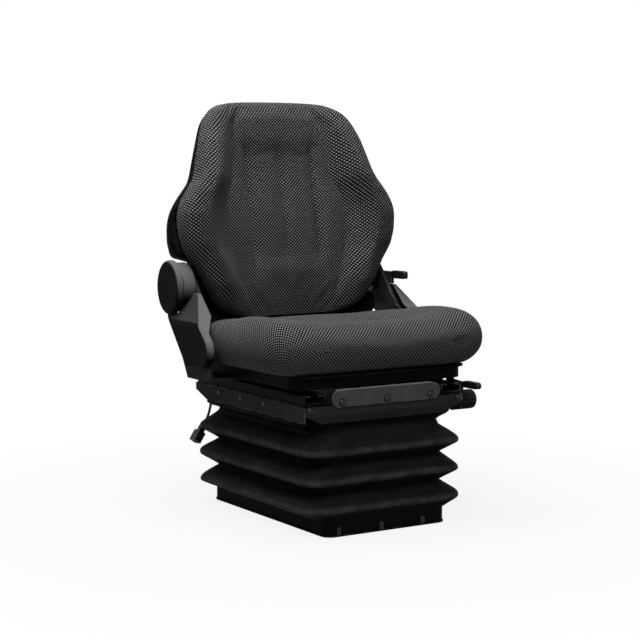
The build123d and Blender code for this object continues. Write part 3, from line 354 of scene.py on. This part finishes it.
# One fold: out along a straight underside, round a narrow lip, then in and up to the next fold
fold_profile = [(0.97, -0.0190), (0.72, -0.0138), (0.42, -0.0080), (0.16, -0.0030), (0.05, -0.0006),
                (0.0, 0.0016), (0.0, 0.0040), (0.015, 0.0066), (0.06, 0.0092), (0.18, 0.0130), (0.42, 0.0188),
                (0.68, 0.0246), (0.87, 0.0290), (0.97, 0.0316)]
boot_rings = [(*skirt_half, 0.018, 0.0034), (*skirt_half, 0.018, 0.0060), (*skirt_half, 0.018, 0.014),
              (*skirt_half, 0.018, 0.024), (skirt_half[0] + 0.0005, skirt_half[1] + 0.0003, 0.020, 0.0278)]
skirt_rings = len(boot_rings)
for fold in range(3):
    for inwards, height in fold_profile:
        if fold == 0 and height < -0.0090:
            continue
        half_x = boot_lip[0] - inwards * boot_inset[0]
        half_y = boot_lip[1] - inwards * boot_inset[1]
        if fold == 0 and height < 0:
            half_x = boot_lip[0] - inwards * (boot_lip[0] - skirt_half[0])
            half_y = boot_lip[1] - inwards * (boot_lip[1] - skirt_half[1])
        boot_rings.append((half_x, half_y, boot_corner, first_lip + fold * fold_rise + height))
lip_reach = 0.0022
lip_shares = [0.0] * skirt_rings
lip_shares += [math.exp(-(ring[0] - boot_lip[0]) ** 2 / lip_reach ** 2) for ring in boot_rings[skirt_rings:]]
collar_rings = [(0.1415, 0.181, boot_corner, 0.1855), (0.150, 0.1805, boot_corner, 0.1900),
                (0.164, 0.1815, boot_corner, 0.1945), (*collar_half, boot_corner, 0.1985),
                (*collar_half, boot_corner, 0.2034)]
boot_rings += collar_rings
lip_shares += [0.0] * len(collar_rings)
outside = []
inside = []
for half_x, half_y, corner, height in boot_rings:
    loop = rounded_loop(half_x, half_y, corner)
    angle = np.arctan2(loop[:, 1], loop[:, 0])
    swell = 0.0006 * np.sin(5 * angle + 90 * height) + 0.0005 * np.sin(11 * angle - 160 * height)
    if height < 0.03 or height > 0.19:
        swell = swell * 0.0
    away = loop / np.linalg.norm(loop, axis=1)[:, None]
    droop = swell * 0.8
    wide = loop + away * swell[:, None]
    thin = rounded_loop(half_x - boot_wall, half_y - boot_wall, max(corner - boot_wall, 0.004))
    thin = thin + away * swell[:, None]
    outside.append(np.column_stack((wide, height + droop)))
    inside.append(np.column_stack((thin, height + droop)))
shell = outside + inside[::-1]
around = len(shell[0])
boot_points = np.concatenate(shell)
boot_faces = []
for ring in range(len(shell)):
    above = (ring + 1) % len(shell)
    for spot in range(around):
        nearby = (spot + 1) % around
        boot_faces.append((ring * around + spot, ring * around + nearby, above * around + nearby,
                           above * around + spot))
boot = mesh_piece("bellows_boot", boot_points, boot_faces)
lip = boot.data.attributes.new("lip", "FLOAT", "POINT")
lip.data.foreach_set("value", np.repeat(lip_shares + lip_shares[::-1], around).astype(np.float32))
boot_rubber, wire = finish("boot_rubber")
cloud = object_noise(wire, 34.0, 5.0, 0.6)
speck = object_noise(wire, 420.0, 2.0)
on_lip = wire.node("ShaderNodeAttribute", {"attribute_name": "lip"}, None, 2)
# Painted highlight: the outer edges of the fold lips are painted a lighter grey, mottled by the cloud noise.
painted_lip_highlight = on_lip * (cloud.ramp(0.30, 0.65) * 0.6 + 0.4)
# Dust and painted top light: faces that turn upwards are painted a lighter, speckled grey, and rougher.
boot_facing = wire.node("ShaderNodeNewGeometry", None, None, 1)
skyward = wire.node("ShaderNodeSeparateXYZ", None, {0: boot_facing}, 2)
dust_and_painted_top_light = skyward.ramp(0.25, 0.95) * (cloud.ramp(0.35, 0.75) * 0.45 + 0.30) * (speck * 0.8 + 0.2)
rubber_colour = dust_and_painted_top_light.between(cloud.between(grey(0.0026), grey(0.0048)), grey(0.026, 0.01))
rubber_colour = painted_lip_highlight.between(rubber_colour, grey(0.030, 0.01))
rubber_bump = wire.node("ShaderNodeBump", None, {"Strength": 0.25, "Distance": 0.0005,
                                                 "Height": speck * 0.5 + cloud * 0.8})
close_finish(wire, Base_Color=rubber_colour, Roughness=cloud * 0.25 + 0.46 + dust_and_painted_top_light * 0.2, Normal=rubber_bump,
             Specular_IOR_Level=0.012)
boot.data.materials.append(boot_rubber)
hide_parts("bellows")
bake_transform(boot)

# Upper frame
# Folded steel plates painted satin black, with a creased front panel. Their upper faces are
# painted darker as a painted shade, and the cover plate's bent-back top edge is painted light as a painted
# highlight.
frame_paint = painted_steel("frame_paint", 0.019, 1.0)
dress(frame_paint, "frame_side_left", "frame_side_right", "frame_rear_plate", "front_panel",
      "upper_tracks", "upper_pivots", "damper_dust_tube")
# The cover plate's upper faces are painted light as a painted highlight.
dress(painted_steel("cover_plate_paint", 0.050, 1.0, 0.22), "front_cover_plate")

# Dome bolts and rivets
# Blackened steel heads, pressed to a dome: three through the cover plate, two at the ends of
# the front panel, and three rivets in each side plate.


def tree_node(tree, kind, settings=None, sockets=None):
    made = tree.nodes.new(kind)
    for name, value in (settings or {}).items():
        setattr(made, name, value)
    for name, value in (sockets or {}).items():
        if isinstance(value, bpy.types.NodeSocket):
            tree.links.new(value, made.inputs[name])
        else:
            made.inputs[name].default_value = value
    return made


def grow(piece, tree, **sizes):
    """Runs the tree on the piece with its named sizes set, and keeps the result as a plain mesh."""
    modifier = piece.modifiers.new("grow", "NODES")
    modifier.node_group = tree
    for item in tree.interface.items_tree:
        if item.item_type == "SOCKET" and item.in_out == "INPUT" and item.name in sizes:
            modifier[item.identifier] = sizes[item.name]
    reader = bpy.context.evaluated_depsgraph_get()
    made = bpy.data.meshes.new_from_object(piece.evaluated_get(reader))
    piece.modifiers.clear()
    piece.data = made
    return piece


dome_tree = bpy.data.node_groups.new("dome_heads", "GeometryNodeTree")
dome_tree.interface.new_socket("Geometry", in_out="INPUT", socket_type="NodeSocketGeometry")
for size_name in ("Radius", "Height"):
    dome_tree.interface.new_socket(size_name, in_out="INPUT", socket_type="NodeSocketFloat")
dome_tree.interface.new_socket("Steel", in_out="INPUT", socket_type="NodeSocketMaterial")
dome_tree.interface.new_socket("Geometry", in_out="OUTPUT", socket_type="NodeSocketGeometry")
start = tree_node(dome_tree, "NodeGroupInput")
ball = tree_node(dome_tree, "GeometryNodeMeshUVSphere", None, {"Segments": 24, "Rings": 12, "Radius": 1.0})
scale = tree_node(dome_tree, "ShaderNodeCombineXYZ", None,
                  {0: start.outputs["Radius"], 1: start.outputs["Radius"], 2: start.outputs["Height"]})
squat = tree_node(dome_tree, "GeometryNodeTransform", None,
                  {"Geometry": ball.outputs["Mesh"], "Scale": scale.outputs[0]})
face_way = tree_node(dome_tree, "GeometryNodeInputNamedAttribute", {"data_type": "FLOAT_VECTOR"},
                     {"Name": "facing"})
turn = tree_node(dome_tree, "FunctionNodeAlignRotationToVector", {"axis": "Z"},
                 {"Vector": face_way.outputs[0]})
heads = tree_node(dome_tree, "GeometryNodeInstanceOnPoints", None,
                  {"Points": start.outputs["Geometry"], "Instance": squat.outputs[0],
                   "Rotation": turn.outputs[0]})
solid = tree_node(dome_tree, "GeometryNodeRealizeInstances", None, {0: heads.outputs[0]})
smooth = tree_node(dome_tree, "GeometryNodeSetShadeSmooth", None, {0: solid.outputs[0]})
coated = tree_node(dome_tree, "GeometryNodeSetMaterial", None,
                   {"Geometry": smooth.outputs[0], "Material": start.outputs["Steel"]})
tree_node(dome_tree, "NodeGroupOutput", None, {0: coated.outputs[0]})


def dome_heads(name, places, facing, radius, height):
    piece = mesh_piece(name, places, [])
    way = piece.data.attributes.new("facing", "FLOAT_VECTOR", "POINT")
    way.data.foreach_set("vector", np.array(facing, np.float32).ravel())
    return grow(piece, dome_tree, Radius=radius, Height=height, Steel=black_steel)


cover_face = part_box("front_cover_plate")[0].y
panel_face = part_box("front_panel")[0].y
cover_bolt_height = 0.237
panel_bolt_height = 0.226
rivet_height = 0.224
bolt_spots = [(x, cover_face, cover_bolt_height) for x in (-0.095, 0.0, 0.095)]
bolt_spots += [(x, panel_face, panel_bolt_height) for x in (-0.160, 0.160)]
front_heads = dome_heads("front_dome_bolts", bolt_spots, [(0.0, -1.0, 0.0)] * 5, 0.0072, 0.0048)
side_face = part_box("frame_side_left")[1].x
rivet_spots = [(side * side_face, y, rivet_height) for side in (-1, 1) for y in (-0.060, 0.024, 0.108)]
rivet_ways = [(side, 0.0, 0.0) for side in (-1, 1) for rivet in range(3)]
side_heads = dome_heads("side_dome_rivets", rivet_spots, rivet_ways, 0.0049, 0.0026)
for heads_piece, stood_for in ((front_heads, "front_bolts"), (side_heads, "side_rivets")):
    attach(heads_piece, "top_frame")
    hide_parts(stood_for)

# Slide rails and slide lever
# Rolled black phosphated channels on the frame, with an upper rail that runs in each and
# carries the pan. The lever that frees them is a steel bar with a moulded grip.
# The rails' upper faces are painted darker as a painted shade, and their bright worn edges are partly a painted
# highlight for the glints on their ends.
rail_steel = painted_steel("phosphated_rail", 0.005, 1.0)
dress(rail_steel, "lower_rail_left", "lower_rail_right", "upper_rail_left", "upper_rail_right")
dress(frame_paint, "slide_lever")
dress(painted_steel("pan_paint", 0.0025, 0.2), "seat_pan", "frame_top_plate")


def grained_plastic(name, level, rough, fade=2.0):
    """Black plastic with a fine grain, and a painted highlight that greys the faces turned up and to the front,
    to fade times its level.
    """
    made, wire = finish(name)
    grain = object_noise(wire, 1400.0, 2.0)
    cloud = object_noise(wire, 22.0, 4.0)
    rounded = wire.node("ShaderNodeBevel", {"samples": 6}, {"Radius": 0.0014})
    # Painted highlight: faces turned towards the lamps above and in front are painted lighter.
    sunward = wire.node("ShaderNodeVectorMath", {"operation": "DOT_PRODUCT"},
                        {0: rounded, 1: (0.0, -0.6, 0.8)}, 1)
    painted_front_light = sunward.ramp(0.15, 0.75) * (cloud * 0.5 + 0.75)
    bump = wire.node("ShaderNodeBump", None, {"Strength": 0.3, "Distance": 0.0003, "Height": grain,
                                              "Normal": rounded})
    colour = painted_front_light.between(cloud.between(grey(level * 0.8), grey(level * 1.25)), grey(level * fade, 0.01))
    close_finish(wire, Base_Color=colour, Roughness=cloud * 0.2 + grain * 0.1 + rough, Normal=bump,
                 Specular_IOR_Level=0.01)
    return made


# The knob, grips and switch have their upward front faces painted four times lighter as a painted highlight.
moulding = grained_plastic("black_moulding", 0.006, 0.38, 4.0)
dress(moulding, "weight_knob", "slide_lever_grip", "recline_grip", "presence_switch")

# Side brackets and covers
# Bent steel legs carry the back on each side, behind moulded covers. On the right a drum
# with an egg-shaped cap closes the recline pivot; on the left the recline lever sits there.
dress(frame_paint, "side_bracket_left", "side_bracket_right", "hinge_plate_left", "hinge_plate_right",
      "cross_tubes", "recline_lever")
# The covers, drum and cap have their upward front faces painted many times lighter as a painted highlight.
side_moulding = grained_plastic("side_moulding", 0.0030, 0.34, 26.0)
dress(side_moulding, "side_cover_left", "side_cover_right", "pivot_housing", "pivot_cap")

# Cover cloth
# A flat-woven polyester, black with a fine diagonal lattice of grey dots, cut to follow the
# pads, so the lattice runs along the cloth and not along the room.
dot_pitch = 0.0065
cover_cloth, wire = finish("cover_cloth")
weave = wire.node("ShaderNodeUVMap", {"uv_map": "weave"})
across = wire.node("ShaderNodeSeparateXYZ", None, {0: weave}, 0)
along = wire.node("ShaderNodeSeparateXYZ", None, {0: weave}, 1)
left_run = ((across + along) * (1 / dot_pitch)).math("FRACT") - 0.5
right_run = ((across - along) * (1 / dot_pitch)).math("FRACT") - 0.5
spread = (left_run * left_run + right_run * right_run).math("SQRT")
dot = 1.0 - spread.ramp(0.17, 0.36)
thread_waves = 6.2832 / 0.0011
thread = ((across * thread_waves).math("SINE") + (along * thread_waves).math("SINE")) * 0.25 + 0.5
fade = object_noise(wire, 9.0, 4.0)
ground_shade = fade.between(grey(0.0035), grey(0.0065, 0.02))
dot_shade = fade.between(grey(0.15, 0.03), grey(0.24, 0.04))
cloth_bump = wire.node("ShaderNodeBump", None,
                       {"Strength": 0.5, "Distance": 0.0005, "Height": dot + thread * 0.35})
close_finish(wire, Base_Color=(dot * (thread * 0.5 + 0.5)).between(ground_shade, dot_shade),
             Roughness=0.95 - dot * 0.15, Normal=cloth_bump, Specular_IOR_Level=0.02, Sheen_Weight=0.03,
             Sheen_Roughness=0.45)


def packed_line(count, low, high, squeeze):
    """Places from low to high, drawn together towards both ends."""
    share = np.linspace(-1.0, 1.0, count)
    share = (1 - squeeze) * share + squeeze * np.sin(share * math.pi / 2)
    return low + (share + 1) / 2 * (high - low)


def pad_plan(outline, rows, columns, low, high):
    """A grid over the pad's outline, and for each point its gap to the edge and the way there."""
    level = packed_line(rows, low, high, 0.5)
    half = np.interp(level, outline[:, 0], outline[:, 1])
    half[1:-1] = (half[:-2] + 2 * half[1:-1] + half[2:]) / 4
    side = packed_line(columns, -1.0, 1.0, 0.45)
    across = side[None, :] * half[:, None]
    up = np.repeat(level[:, None], columns, axis=1)
    rim = np.concatenate((np.column_stack((half, level)), np.column_stack((-half[::-1], level[::-1]))))
    rim = np.concatenate((rim, rim[:1]))
    run = np.concatenate(([0.0], np.cumsum(np.linalg.norm(np.diff(rim, axis=0), axis=1))))
    even = np.arange(0.0, run[-1], 0.0006)
    rim = np.column_stack([np.interp(even, run, rim[:, axis]) for axis in (0, 1)])
    spots = np.column_stack((across.ravel(), up.ravel()))
    nearest = np.empty(len(spots), int)
    for part in np.array_split(np.arange(len(spots)), 12):
        nearest[part] = ((spots[part, None] - rim[None]) ** 2).sum(axis=2).argmin(axis=1)
    along = np.roll(rim, -1, axis=0) - np.roll(rim, 1, axis=0)
    square = np.column_stack((along[:, 1], -along[:, 0]))
    facing = sum(np.roll(square, shift, axis=0) for shift in range(-9, 10))
    facing /= np.linalg.norm(facing, axis=1)[:, None]
    gap = np.linalg.norm(rim[nearest] - spots, axis=1)
    return across, up, gap.reshape(rows, columns), facing[nearest].reshape(rows, columns, 2), half


def roll_over(gap, width, power):
    inner = 1.0 - np.clip(gap / width, 0.0, 1.0)
    return np.clip(1.0 - inner ** power, 0.0, 1.0) ** (1.0 / power)


def roll_excess(gap, width, power, depth):
    """How much longer the cloth is than its plan, from the start of a rolled edge out to the gap."""
    place = np.linspace(width, 0.0, 200)
    height = depth * roll_over(place, width, power)
    run = np.concatenate(([0.0], np.cumsum(np.hypot(np.diff(place), np.diff(height)))))
    return np.interp(gap, place[::-1], (run - (width - place))[::-1])


def lay_cloth(across, up, gap, outwards, over, under):
    """Flat places of the cloth on the top and round the edge, for rolls of (width, power, depth)."""
    plan = np.stack((across, up), axis=2)
    top = plan + outwards * roll_excess(gap, *over)[:, :, None]
    past = 2 * gap + roll_excess(0.0, *over) + roll_excess(0.0, *under) - roll_excess(gap, *under)
    return top, plan + outwards * past[:, :, None]


def pad_piece(name, top, under, laid=None):
    """A closed pad from two grids that share their outer ring, with the weave where the cloth was laid."""
    rows, columns, size = top.shape
    upper = np.arange(rows * columns).reshape(rows, columns)
    lower = upper.copy()
    lower[1:-1, 1:-1] = np.arange((rows - 2) * (columns - 2)).reshape(rows - 2, columns - 2) + rows * columns
    points = np.concatenate((top.reshape(-1, 3), under[1:-1, 1:-1].reshape(-1, 3)))
    faces = []
    for sheet, turn in ((upper, 1), (lower, -1)):
        corners = (sheet[:-1, :-1], sheet[:-1, 1:], sheet[1:, 1:], sheet[1:, :-1])
        faces += np.stack(corners, axis=2).reshape(-1, 4)[:, ::turn].tolist()
    piece = mesh_piece(name, points, faces)
    if laid:
        flat = np.concatenate((laid[0].reshape(-1, 2), laid[1][1:-1, 1:-1].reshape(-1, 2)))
        layer = piece.data.uv_layers.new(name="weave")
        layer.data.foreach_set("uv", flat[np.array(faces).ravel()].astype(np.float32).ravel())
    return piece


def puff(piece, held, pressure, most):
    """Blows the pad up as cloth, held where it is sewn, and caps how far a point goes."""
    rest = np.empty(len(piece.data.vertices) * 3, np.float32)
    piece.data.vertices.foreach_get("co", rest)
    rest = rest.reshape(-1, 3)
    group = piece.vertex_groups.new(name="sewn")
    for spot, weight in enumerate(held):
        if weight > 0.01:
            group.add([spot], float(weight), "REPLACE")
    cloth = piece.modifiers.new("cloth", "CLOTH")
    cloth.settings.quality = 6
    cloth.settings.mass = 0.35
    cloth.settings.tension_stiffness = 25.0
    cloth.settings.compression_stiffness = 20.0
    cloth.settings.shear_stiffness = 8.0
    cloth.settings.bending_stiffness = 0.8
    cloth.settings.air_damping = 2.0
    cloth.settings.use_pressure = True
    cloth.settings.uniform_pressure_force = pressure
    cloth.settings.vertex_group_mass = "sewn"
    cloth.settings.pin_stiffness = 1.0
    cloth.settings.effector_weights.gravity = 0.0
    cloth.point_cache.frame_start = 1
    cloth.point_cache.frame_end = 20
    for moment in range(1, 21):
        scene.frame_set(moment)
    reader = bpy.context.evaluated_depsgraph_get()
    settled = piece.evaluated_get(reader).to_mesh()
    moved = np.empty(len(settled.vertices) * 3, np.float32)
    settled.vertices.foreach_get("co", moved)
    piece.evaluated_get(reader).to_mesh_clear()
    piece.modifiers.clear()
    piece.vertex_groups.clear()
    scene.frame_set(1)
    shift = moved.reshape(-1, 3) - rest
    length = np.linalg.norm(shift, axis=1)
    shift *= np.where(length > most, most / np.maximum(length, 1e-9), 1.0)[:, None]
    piece.data.vertices.foreach_set("co", (rest + shift).ravel())
    piece.data.update()


def subdivide(piece):
    finer = piece.modifiers.new("finer", "SUBSURF")
    finer.levels = 1
    finer.render_levels = 1
    reader = bpy.context.evaluated_depsgraph_get()
    made = bpy.data.meshes.new_from_object(piece.evaluated_get(reader))
    piece.modifiers.clear()
    piece.data = made


# Seat cushion
# A moulded foam pad in the cover cloth: a rolled front edge, a shallow dish behind it and a
# raised bolster along each side. The cloth is drawn under the pad and rests on the pan.
seat_low = 0.2856
seat_waist = 0.330
seat_outline = np.array([(-0.2215, 0.138), (-0.2200, 0.160), (-0.2165, 0.181), (-0.2105, 0.199),
                         (-0.200, 0.2145), (-0.186, 0.2260), (-0.160, 0.2335), (-0.129, 0.2360),
                         (-0.080, 0.2355), (-0.044, 0.2310), (0.0, 0.2255), (0.048, 0.2205),
                         (0.090, 0.2130), (0.109, 0.2060), (0.122, 0.1960), (0.130, 0.1820), (0.1335, 0.160)])
seat_x, seat_y, edge_gap, outwards, row_half = pad_plan(seat_outline, 93, 95, -0.2215, 0.1335)
middle_line = curve_through([-0.225, -0.195, -0.165, -0.135, -0.10, -0.055, 0.0, 0.05, 0.10, 0.14],
                            [0.3580, 0.3655, 0.3690, 0.3680, 0.3615, 0.3515, 0.3480, 0.3520, 0.3580, 0.3570],
                            seat_y)
bolster_line = curve_through([-0.225, -0.195, -0.165, -0.135, -0.09, -0.045, 0.005, 0.05, 0.10, 0.14],
                             [0.3660, 0.3750, 0.3815, 0.3845, 0.3850, 0.3820, 0.3750, 0.3690, 0.3610, 0.3570],
                             seat_y)
wide = np.abs(seat_x) / row_half[:, None]
bolster = soft_step(wide, 0.36, 0.86)
crease_run = soft_step(seat_y, -0.125, -0.085) * (1 - soft_step(seat_y, 0.02, 0.08))
channel = -0.0040 * np.exp(-((wide - 0.50) / 0.045) ** 2) * crease_run
front_crease = -0.0030 * np.exp(-((seat_y + 0.098) / 0.012) ** 2) * (1 - soft_step(wide, 0.42, 0.55))
top_height = middle_line + (bolster_line - middle_line) * bolster + channel + front_crease
seat_z = seat_waist + (top_height - seat_waist) * roll_over(edge_gap, 0.046, 2.2)
under_roll = 0.044 - 0.022 * soft_step(seat_y, -0.10, 0.06)
under_z = seat_waist - (seat_waist - seat_low) * roll_over(edge_gap, under_roll, 1.7)
seat_laid = lay_cloth(seat_x, seat_y, edge_gap, outwards, (0.046, 2.2, 0.045), (0.046, 1.7, 0.046))
seat_pad = pad_piece("seat_cover", np.stack((seat_x, seat_y, seat_z), axis=2),
                     np.stack((seat_x, seat_y, under_z), axis=2), seat_laid)
under_gap = edge_gap[1:-1, 1:-1]
creases = np.maximum(np.exp(-((wide - 0.50) / 0.03) ** 2) * crease_run,
                     np.exp(-((seat_y + 0.098) / 0.008) ** 2) * (1 - soft_step(wide, 0.42, 0.55)))
seat_held = np.concatenate((0.6 * creases.ravel(), soft_step(under_gap, 0.020, 0.045).ravel()))
puff(seat_pad, seat_held, 2.0, 0.005)
subdivide(seat_pad)
seat_pad.data.materials.append(cover_cloth)
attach(seat_pad, "carriage")
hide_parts("seat_cushion")

# Back cushion
# Moulded foam in the same cloth, its sides brought forward as bolsters. Three sewn flutes
# run down the dished middle, and the edge of the cloth tucks in behind the shell's rim.
back_tilt = math.radians(10.0)
back_pivot = np.array((0.0, 0.160, 0.421))
back_up = np.array((0.0, math.sin(back_tilt), math.cos(back_tilt)))
back_ahead = np.array((0.0, -math.cos(back_tilt), math.sin(back_tilt)))
back_levels = [-0.0655, -0.051, -0.003, 0.058, 0.126, 0.168, 0.195, 0.268, 0.323, 0.340, 0.352]
back_seam = [0.0230, 0.0190, 0.0240, 0.0270, 0.0300, 0.0320, 0.0335, 0.0330, 0.0260, 0.0160, 0.0040]
back_middle = [0.0230, 0.0290, 0.0340, 0.0370, 0.0385, 0.0365, 0.0345, 0.0310, 0.0300, 0.0295, 0.0290]
back_crest = [0.0270, 0.0450, 0.0680, 0.0770, 0.0850, 0.0870, 0.0865, 0.0720, 0.0550, 0.0460, 0.0380]
back_outline = np.array([(-0.0655, 0.090), (-0.062, 0.116), (-0.056, 0.139), (-0.046, 0.158), (-0.031, 0.172),
                         (-0.003, 0.187), (0.030, 0.2040), (0.046, 0.2150), (0.060, 0.2260), (0.087, 0.2350),
                         (0.112, 0.2375), (0.130, 0.2370), (0.147, 0.2320), (0.163, 0.2235), (0.179, 0.2120),
                         (0.195, 0.1995), (0.211, 0.1935), (0.243, 0.1855), (0.274, 0.1770), (0.290, 0.1715),
                         (0.305, 0.1655), (0.318, 0.1575), (0.329, 0.1465), (0.338, 0.1330), (0.345, 0.1140),
                         (0.349, 0.0900), (0.3512, 0.0600), (0.352, 0.0300)])
back_x, back_v, edge_gap, outwards, row_half = pad_plan(back_outline, 109, 99, -0.0655, 0.352)
seam_n = np.interp(back_v, back_levels, back_seam)
middle_n = curve_through(back_levels, back_middle, back_v)
crest_n = np.interp(back_v, back_levels, back_crest)
wide = np.abs(back_x) / row_half[:, None]
flute_places = (-0.073, 0.0, 0.073)
flute_run = soft_step(back_v, 0.030, 0.060) * (1 - soft_step(back_v, 0.240, 0.270))
channel = -0.0030 * np.exp(-((wide - 0.57) / 0.035) ** 2) * soft_step(back_v, 0.03, 0.09) * (
    1 - soft_step(back_v, 0.22, 0.28))
face_n = middle_n + (crest_n - middle_n) * soft_step(wide, 0.56, 0.86) + channel
back_n = seam_n + (face_n - seam_n) * roll_over(edge_gap, 0.042, 2.5)
swell = 0.0036 * np.sin(math.pi * np.clip(edge_gap / 0.024, 0.0, 1.0))
pad_x = back_x + outwards[:, :, 0] * swell
pad_v = back_v + outwards[:, :, 1] * swell


def on_back(x, v, n):
    return (back_pivot + np.stack((x, np.zeros_like(x), np.zeros_like(x)), axis=-1)
            + v[..., None] * back_up + n[..., None] * back_ahead)


tuck = soft_step(edge_gap, 0.006, 0.030)
back_laid = lay_cloth(back_x, back_v, edge_gap, outwards, (0.042, 2.5, 0.030), (0.030, 1.0, 0.015))
back_pad = pad_piece("back_cover", on_back(pad_x, pad_v, back_n),
                     on_back(back_x, back_v, seam_n * (1 - tuck) + 0.0105 * tuck), back_laid)
sewn = 1.0 - np.clip(edge_gap / 0.004, 0.0, 1.0)
for place in flute_places:
    sewn = np.maximum(sewn, np.exp(-((back_x - place) / 0.0040) ** 2) * flute_run)
back_held = np.concatenate((sewn.ravel(), np.ones((back_x.shape[0] - 2) * (back_x.shape[1] - 2))))
puff(back_pad, back_held, 2.0, 0.005)
subdivide(back_pad)
spots = np.empty(len(back_pad.data.vertices) * 3, np.float32)
back_pad.data.vertices.foreach_get("co", spots)
spots = spots.reshape(-1, 3)
rise = (spots - back_pivot) @ back_up
ahead = (spots - back_pivot) @ back_ahead
sewn_run = soft_step(rise, 0.020, 0.070) * (1 - soft_step(rise, 0.235, 0.275)) * soft_step(ahead, 0.020, 0.026)
for place in flute_places:
    away = np.abs(spots[:, 0] - place)
    pull = 0.0042 * np.exp(-(away / 0.0034) ** 1.5) + 0.0036 * np.exp(-(away / 0.014) ** 2)
    spots -= (pull * sewn_run)[:, None] * back_ahead
back_pad.data.vertices.foreach_set("co", spots.ravel())
back_pad.data.update()
back_pad.data.materials.append(cover_cloth)
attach(back_pad, "backrest")
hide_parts("back_cushion")

# Back shell
# A thin black moulding behind the cushion: a shallow wall up to the edge of the cloth, bulged
# over the hinge arms, and a flat apron between the arms that closes the gap above the seat.
shell_wall = 0.003
shell_inset = 0.0015
apron_levels = np.array([(-0.0740, 0.172), (-0.0725, 0.187), (-0.0690, 0.196), (-0.0620, 0.203),
                         (-0.0500, 0.2060), (-0.0330, 0.2062), (-0.0295, 0.1938), (0.0440, 0.1938),
                         (0.0480, 0.207)])
shell_top = back_outline[back_outline[:, 0] > 0.056] - (0.0015, shell_inset)
shell_outline = np.concatenate((apron_levels, shell_top))
shell_plan = pad_plan(shell_outline, 121, 81, shell_outline[0, 0], shell_outline[-1, 0])
shell_x, shell_v, shell_gap = shell_plan[:3]
over_apron = soft_step(shell_v, 0.034, 0.058)
rim_n = 0.0085 + (np.interp(shell_v, back_levels, back_seam) - 0.0015 - 0.0085) * over_apron
depth_levels = [-0.074, 0.036, 0.058, 0.126, 0.168, 0.195, 0.268, 0.323, 0.352]
wall_depth = np.interp(shell_v, depth_levels, [0.012, 0.012, 0.074, 0.053, 0.043, 0.034, 0.023, 0.016, 0.011])
crown = np.interp(shell_v, [-0.074, 0.040, 0.080, 0.150, 0.250, 0.352], [0.0, 0.0, 0.010, 0.024, 0.018, 0.0])
crown = crown * soft_step(shell_gap, 0.0, 0.14)
outer_n = rim_n - wall_depth * roll_over(shell_gap, 0.014, 2.4) - crown
inner_gap = np.maximum(shell_gap - shell_wall, 0.0)
inner_n = rim_n - (wall_depth - shell_wall) * roll_over(inner_gap, 0.014, 2.4) - crown
back_cover = pad_piece("back_shell_moulding", on_back(shell_x, shell_v, inner_n),
                       on_back(shell_x, shell_v, outer_n))
# The shell's upward front faces are painted twice as light as a painted highlight.
back_cover.data.materials.append(grained_plastic("shell_moulding", 0.0022, 0.42))
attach(back_cover, "backrest")
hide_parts("back_shell")
